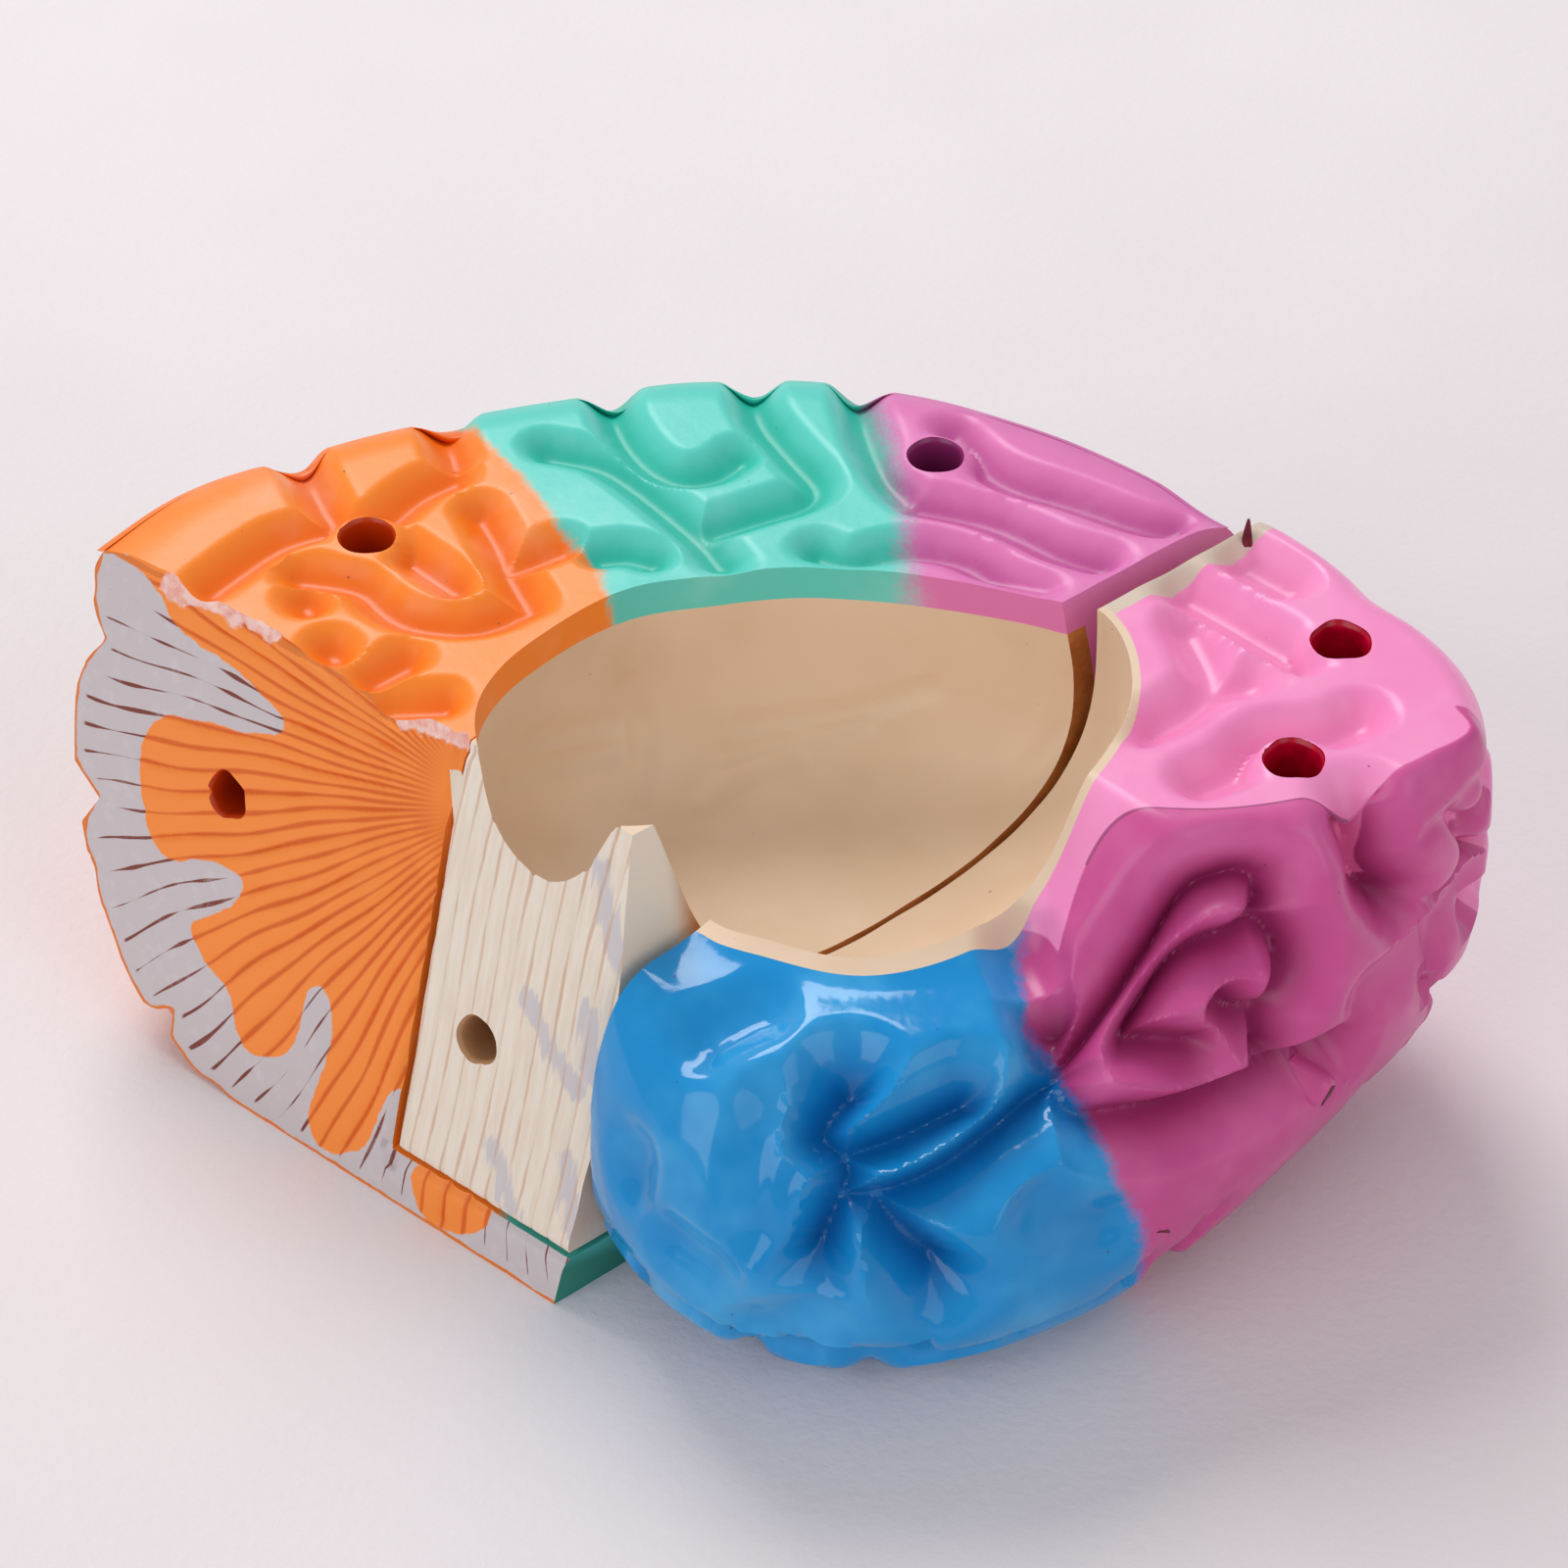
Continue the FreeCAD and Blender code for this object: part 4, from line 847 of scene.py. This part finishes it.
TEMPORAL_FURROWS = [
    [(60, -31, 53), (57, -31, 55), (51, -34, 54), (47, -38, 50), (44, -41, 47), (41, -46, 43), (41, -51, 40)],
    [(60, -33, 48), (58, -35, 47), (54, -38, 48), (50, -41, 46), (47, -46, 42), (50, -46, 41), (56, -41, 36)],
    [(60, -31, 53), (61, -32, 50), (60, -33, 48), (63, -32, 46), (65, -32, 41), (62, -35, 36), (63, -35, 30)],
    [(62, -35, 36), (60, -37, 37), (58, -38, 40)],
    [(67, -20, 58), (68, -22, 56), (70, -22, 52), (71, -23, 48), (74, -20, 42)],
    [(38, -44, 43), (41, -51, 40), (44, -53, 35), (49, -50, 33), (54, -46, 30), (59, -40, 28), (70, -27, 26)],
    [(19, -57, 42), (16, -64, 39), (20, -65, 37), (21, -67, 35), (20, -69, 32), (18, -71, 25)],
    [(20, -65, 37), (21, -65, 38), (26, -62, 39), (32, -56, 41)],
    [(20, -69, 32), (25, -67, 32), (29, -66, 33), (32, -63, 34), (37, -58, 37), (41, -51, 40)],
    [(25, -68, 32), (27, -68, 28), (32, -67, 21)]]
TEMPORAL_DENTS = [
    [(16, -64, 39), (15, -67, 36), (14, -68, 33), (15, -70, 27)],
    [(12, -62, 40), (11, -66, 34), (12, -69, 28)],
    [(3, -55, 42), (8, -51, 43)],
    [(-4, -62, 29), (-4, -62, 26)],
    [(2, -67, 22), (6, -69, 21)],
    [(12, -70, 14), (18, -71, 19)],
    [(41, -60, 29), (45, -57, 24), (48, -55, 22)],
    [(71, -24, 33), (76, -16, 34), (80, -8, 36)],
    [(34, -37, 44), (38, -44, 43)]]


def temporal_marks(points):
    """Signed millimetres to the blue border and to the light pink of the midline face."""
    away = points[..., :2] - np.array(TEMPORAL_CENTRE)
    turn = np.degrees(np.arctan2(away[..., 1], away[..., 0]))
    reach = np.hypot(away[..., 0], away[..., 1])
    edge = np.interp(points[..., 2], [0, 22, 34, 40, 44], [-50, -55, -61.3, -66.9, -62.6])
    around = np.radians(np.where(turn > 100, turn - 360, turn) - edge) * np.maximum(reach, 12)
    within = radius_at(np.radians(turn), TEMPORAL_MARGIN, TEMPORAL_CENTRE) - reach
    within = np.minimum(within, points[..., 2] - 44)
    behind = np.radians(turn - 9) * reach
    scored = np.abs(within) + np.clip(np.abs(turn + 28) - 19, 0, 40)
    flat = points - SEAM_FOOT
    ledge = flat @ SEAM_NORMAL + np.clip(28 - flat @ SEAM_ALONG, 0, 40) + np.clip(40 - points[..., 2], 0, 40)
    return {"pink": around, "light": np.maximum(within, behind), "scored": scored, "ledge": ledge,
            "glow": np.full(points.shape[:-1], 99.0)}


# Gloss lacquer in two colours that meet in a soft violet band, darker in the furrows as painted shade, with
# the thick wet sheen of a dipped coat on the blue.
gloss_paint, tree, source = new_finish(
    "gloss_airbrushed_lacquer_on_pvc", 0.2, "pink light furrow scored ledge", drift=(9.0, 2.0),
    spray=(0.8, 4.0, 0.75), fuzz=(4.0, 3.0), runs=(7.0, 3.0), thin=(16.0, 3.0), bared=(2.0, 4.0),
    specks=(1.0, 1.0), peel=(3.0, 2.0))
pink_edge = sums(tree, "MULTIPLY_ADD", source["drift"], 3.0, source["pink"])
# In each paint the third colour, for the furrows, is painted shade; the runs noise only shakes its edge.
blue, magenta, light = [
    layered(tree, source, thick, [("thin", 0.42, 0.7, 1.0, thinned),
                                  ("furrow", 0.4, 1.6, 1.0, shaded_furrow, "runs", 0.3)])
    for thick, thinned, shaded_furrow in (("#168FD2", "#3CA4DF", "#0A66AC"), ("#CE4F92", "#D8629F", "#9E2C66"),
                                 ("#F88EC4", "#FA9ACB", "#E0649F"))]
pinks = layered(tree, source, magenta, [("light", 0.05, 0.45, 1.0, light, "fuzz", 0.5)])
body = layered(tree, source, blue, [
    (pink_edge, 1.8, 4.2, 1.0, pinks, "spray", 3.0),
    ("scored", 0.3, 0.12, 0.7, "#8A3464"),
    ("ledge", 1.2, 0.9, 1.0, "#D9C6B4", "bared", 0.8),
    ("specks", 0.8, 0.83, 0.6, "#3A2230")])
coat(tree, body, source["peel"], 0.04)
shaken = sums(tree, "MULTIPLY_ADD", source["spray"], 3.0, pink_edge)
wet = ramp(tree, shaken, 1.8, 4.2, 0.1, 0.3)
tree.links.new(wet, tree.nodes["Principled BSDF"].inputs["Roughness"])

# Deep red inside the sockets, darker in blotches: painted shade of the deep holes. And the dull broken ends
# of the sprues.
temporal_socket_shade, tree, source = new_finish("red_painted_shade_in_sockets", 0.25, "", pooled=(3.0, 3.0))
coat(tree, layered(tree, source, "#C8002E", [("pooled", 0.3, 0.7, 1.0, "#A00020")]))
sprue_end, tree, source = new_finish("broken_dark_red_pvc", 0.55, "", grit=(1.0, 3.0), tooth=(0.6, 3.0))
coat(tree, layered(tree, source, "#7A2A30", [("grit", 0.3, 0.7, 1.0, "#5A1A20")]), source["tooth"], 0.1)

temporal_looks = [gloss_paint, temporal_socket_shade, sprue_end]
dipped = (temporal_looks, temporal_marks)
TEMPORAL_OUTLINES = (TEMPORAL_MARGIN, TEMPORAL_WIDEST, TEMPORAL_PATCH)
OCCIPITAL_ROUTES = [[(x, y, MIDLINE_Z) for x, y in route] for route in OCCIPITAL_FURROWS]
OCCIPITAL_SOCKETS = [(62, 5.1), (59.5, -15.9)]


def temporal_skin(steps, counts):
    """The second skin: the face sinks by 14.5 mm round the front, and the furrows are let in as before."""
    angle = np.linspace(0, 2 * np.pi, steps, endpoint=False)
    row = rows_over(counts)
    turned = (np.degrees(angle) + 180) % 360 - 180
    face_z = MIDLINE_Z - 14.5 * smooth((-32 - turned) / 34) * smooth((200 + turned) / 60)
    flare_z = 34 - 15 * smooth((-5 - turned) / 40)
    grid = skin_profile(angle, row, TEMPORAL_CENTRE, TEMPORAL_OUTLINES, face_z, flare_z)
    shown = furrows(grid, OCCIPITAL_ROUTES, depth=3.2, reach=4.0, crease=0.2)
    shown = shown * level_rims(grid, OCCIPITAL_SOCKETS, 1)
    curled, broad = TEMPORAL_FURROWS[:6], TEMPORAL_FURROWS[6:]
    shown = np.maximum(shown, furrows(grid, curled, depth=7.0, reach=5.8, crease=0.75))
    shown = np.maximum(shown, furrows(grid, broad, depth=7.4, reach=6.6, crease=0.5))
    shown = np.maximum(shown, furrows(grid, TEMPORAL_DENTS, depth=2.6, reach=5.2, crease=0.2))
    behind = smooth((turned + 12) / 18)[:, None] * smooth((MIDLINE_Z - 4 - grid[..., 2]) / 8)
    below = smooth((15 - grid[..., 2]) / 6)
    depth = np.maximum(shown, hidden_folds(grid) * np.maximum(behind, below))
    depth = faded(depth, row)
    return grid - outward_of(grid) * depth[..., None], depth / 5.0


temporal_grid, temporal_furrow = temporal_skin(620, (64, 90, 20))
temporal_cortex = closed_tube(
    "temporal_occipital_painted_cortex", temporal_grid, *dipped, temporal_furrow)
temporal_hollow = bowl_grid(220, 90, 3.0, CORE_BASE_Z, MIDLINE_Z + 2, 0.35, 2.0)
carve(temporal_cortex, seam_tool(1, *dipped))
carve(temporal_cortex, closed_tube("hollow_tool", temporal_hollow, *dipped))
for x, y in OCCIPITAL_SOCKETS:
    mouth = (x, y, MIDLINE_Z - FACE_SOCKET_SUNK)
    carve(temporal_cortex, socket(mouth, (0, 0, 1), FACE_SOCKET_RADIUS, 0.045, *dipped, 1))
pin_bores(temporal_cortex, *PIN_SOCKET, *dipped)
for place in [(66, -28.5, 22), (51, -48, 17)]:
    outward = unit(np.array(place) - np.array([*TEMPORAL_CENTRE, 34.0]))
    carve(temporal_cortex, lathed(
        "stub", place, outward, [-3.6, 0.6, 1.3, 1.7, 1.8], [2.3, 2.1, 1.9, 1.5, 1.0], 0.05,
        *dipped, 0), "UNION")
    carve(temporal_cortex, lathed(
        "stub_end", place, outward, [1.0, 1.85], [1.3, 1.3], 0.12, *dipped, 2), "UNION")
carve(temporal_cortex, lathed(
    "spike", (49.3, 21.5, MIDLINE_Z), (0, 0, 1), [-2, 0, 1.2, 2.4], [0.7, 0.55, 0.38, 0.15], 0.1,
    *dipped, 2), "UNION")
finish_piece(temporal_cortex, temporal_looks, "temporal_occipital_cortex")
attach(temporal_cortex, "temporal_occipital_section")
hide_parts("temporal_occipital_cortex")


# Temporal-occipital core: the cream liner tongue beside the seam, the rest of the bowl's wall. It is
# self-coloured PVC like the other core, glued in the painted casting, and thins to a lip at its rim.
liner_looks = [cream]
lined = (liner_looks, temporal_marks)
temporal_core = closed_tube("temporal_occipital_cream_liner", temporal_hollow, *lined)
carve(temporal_core, closed_tube("skin_tool", temporal_grid, *lined, temporal_furrow), "INTERSECT")
carve(temporal_core, seam_tool(1, *lined))
carve(temporal_core, bowl_tool(*lined))
pin_bores(temporal_core, *PIN_SOCKET, *lined)
finish_piece(temporal_core, liner_looks, "temporal_occipital_core")
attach(temporal_core, "temporal_occipital_section")
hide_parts("temporal_occipital_core")


# Locating pins: two moulded off-white pegs pressed into the core, a running fit in the second section.
# They are unseen while the sections are together.
peg, tree, source = new_finish("moulded_off_white_peg", 0.35, "", cloud=(2.0, 3.0), peel=(1.0, 3.0))
coat(tree, layered(tree, source, "#E8E2D4", [("cloud", 0.3, 0.7, 1.0, "#DDD5C4")]), source["peel"], 0.02)
for node in ("upper_locating_pin", "lower_locating_pin"):
    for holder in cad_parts[node].material_slots:
        holder.material = peg


# Table: a flat top covered in matt pale paper with a slight tooth, on which the model rests.
paper, tree, source = new_finish("pale_textured_paper", 0.85, "", cloud=(60.0, 2.0), tooth=(1.6, 3.0))
coat(tree, layered(tree, source, "#EAE3E4", [("cloud", 0.3, 0.7, 1.0, "#E7E0E1")]), source["tooth"], 0.12)
mesh = bpy.data.meshes.new("table")
mesh.from_pydata([(-4, -4, 0), (4, -4, 0), (4, 4, 0), (-4, 4, 0)], [], [(0, 1, 2, 3)])
mesh.materials.append(paper)
table = put("table", mesh)

# Camera at the photograph's angle: 41 degrees down, from the front and a little to the right.
camera = put("camera", bpy.data.cameras.new("camera"))
camera.data.lens = 111.0
camera.data.sensor_width = 36.0
camera.data.clip_start = 0.01
ELEVATION, AZIMUTH, DISTANCE = math.radians(41.0), math.radians(12.0), 0.560
level = math.cos(ELEVATION)
back = np.array([math.sin(AZIMUTH) * level, -math.cos(AZIMUTH) * level, math.sin(ELEVATION)])
target = to_frame(np.array([0.0, 0.0, 30.0]))
camera.location = target + back * DISTANCE
camera.rotation_euler = (math.pi / 2 - ELEVATION, 0.0, AZIMUTH)
bpy.context.scene.camera = camera

# Soft studio light: a large key lamp from the upper left and behind, two weaker fills from the front and
# a pale room. The camera's view transform is the plain one.
LAMPS = [
    ("key", (-0.5, 0.8, 1.1), 0.7, 12.0),
    ("fill", (-0.9, -1.2, 0.8), 1.2, 9.0),
    ("side", (1.3, -0.7, 0.8), 1.2, 5.0)]
for name, place, size, watts in LAMPS:
    lamp = put(name, bpy.data.lights.new(name, "AREA"))
    lamp.data.size = size
    lamp.data.energy = watts
    lamp.location = place
    away = unit(np.array(place) - np.array([0, 0, 0.03]))
    lamp.rotation_euler = (math.acos(away[2]), 0.0, math.atan2(away[1], away[0]) + math.pi / 2)
world = bpy.data.worlds.new("room")
bpy.context.scene.world = world
world.use_nodes = True
world.node_tree.nodes["Background"].inputs["Color"].default_value = linear("#F1F1F6")
world.node_tree.nodes["Background"].inputs["Strength"].default_value = 0.45
bpy.context.scene.view_settings.view_transform = "Standard"
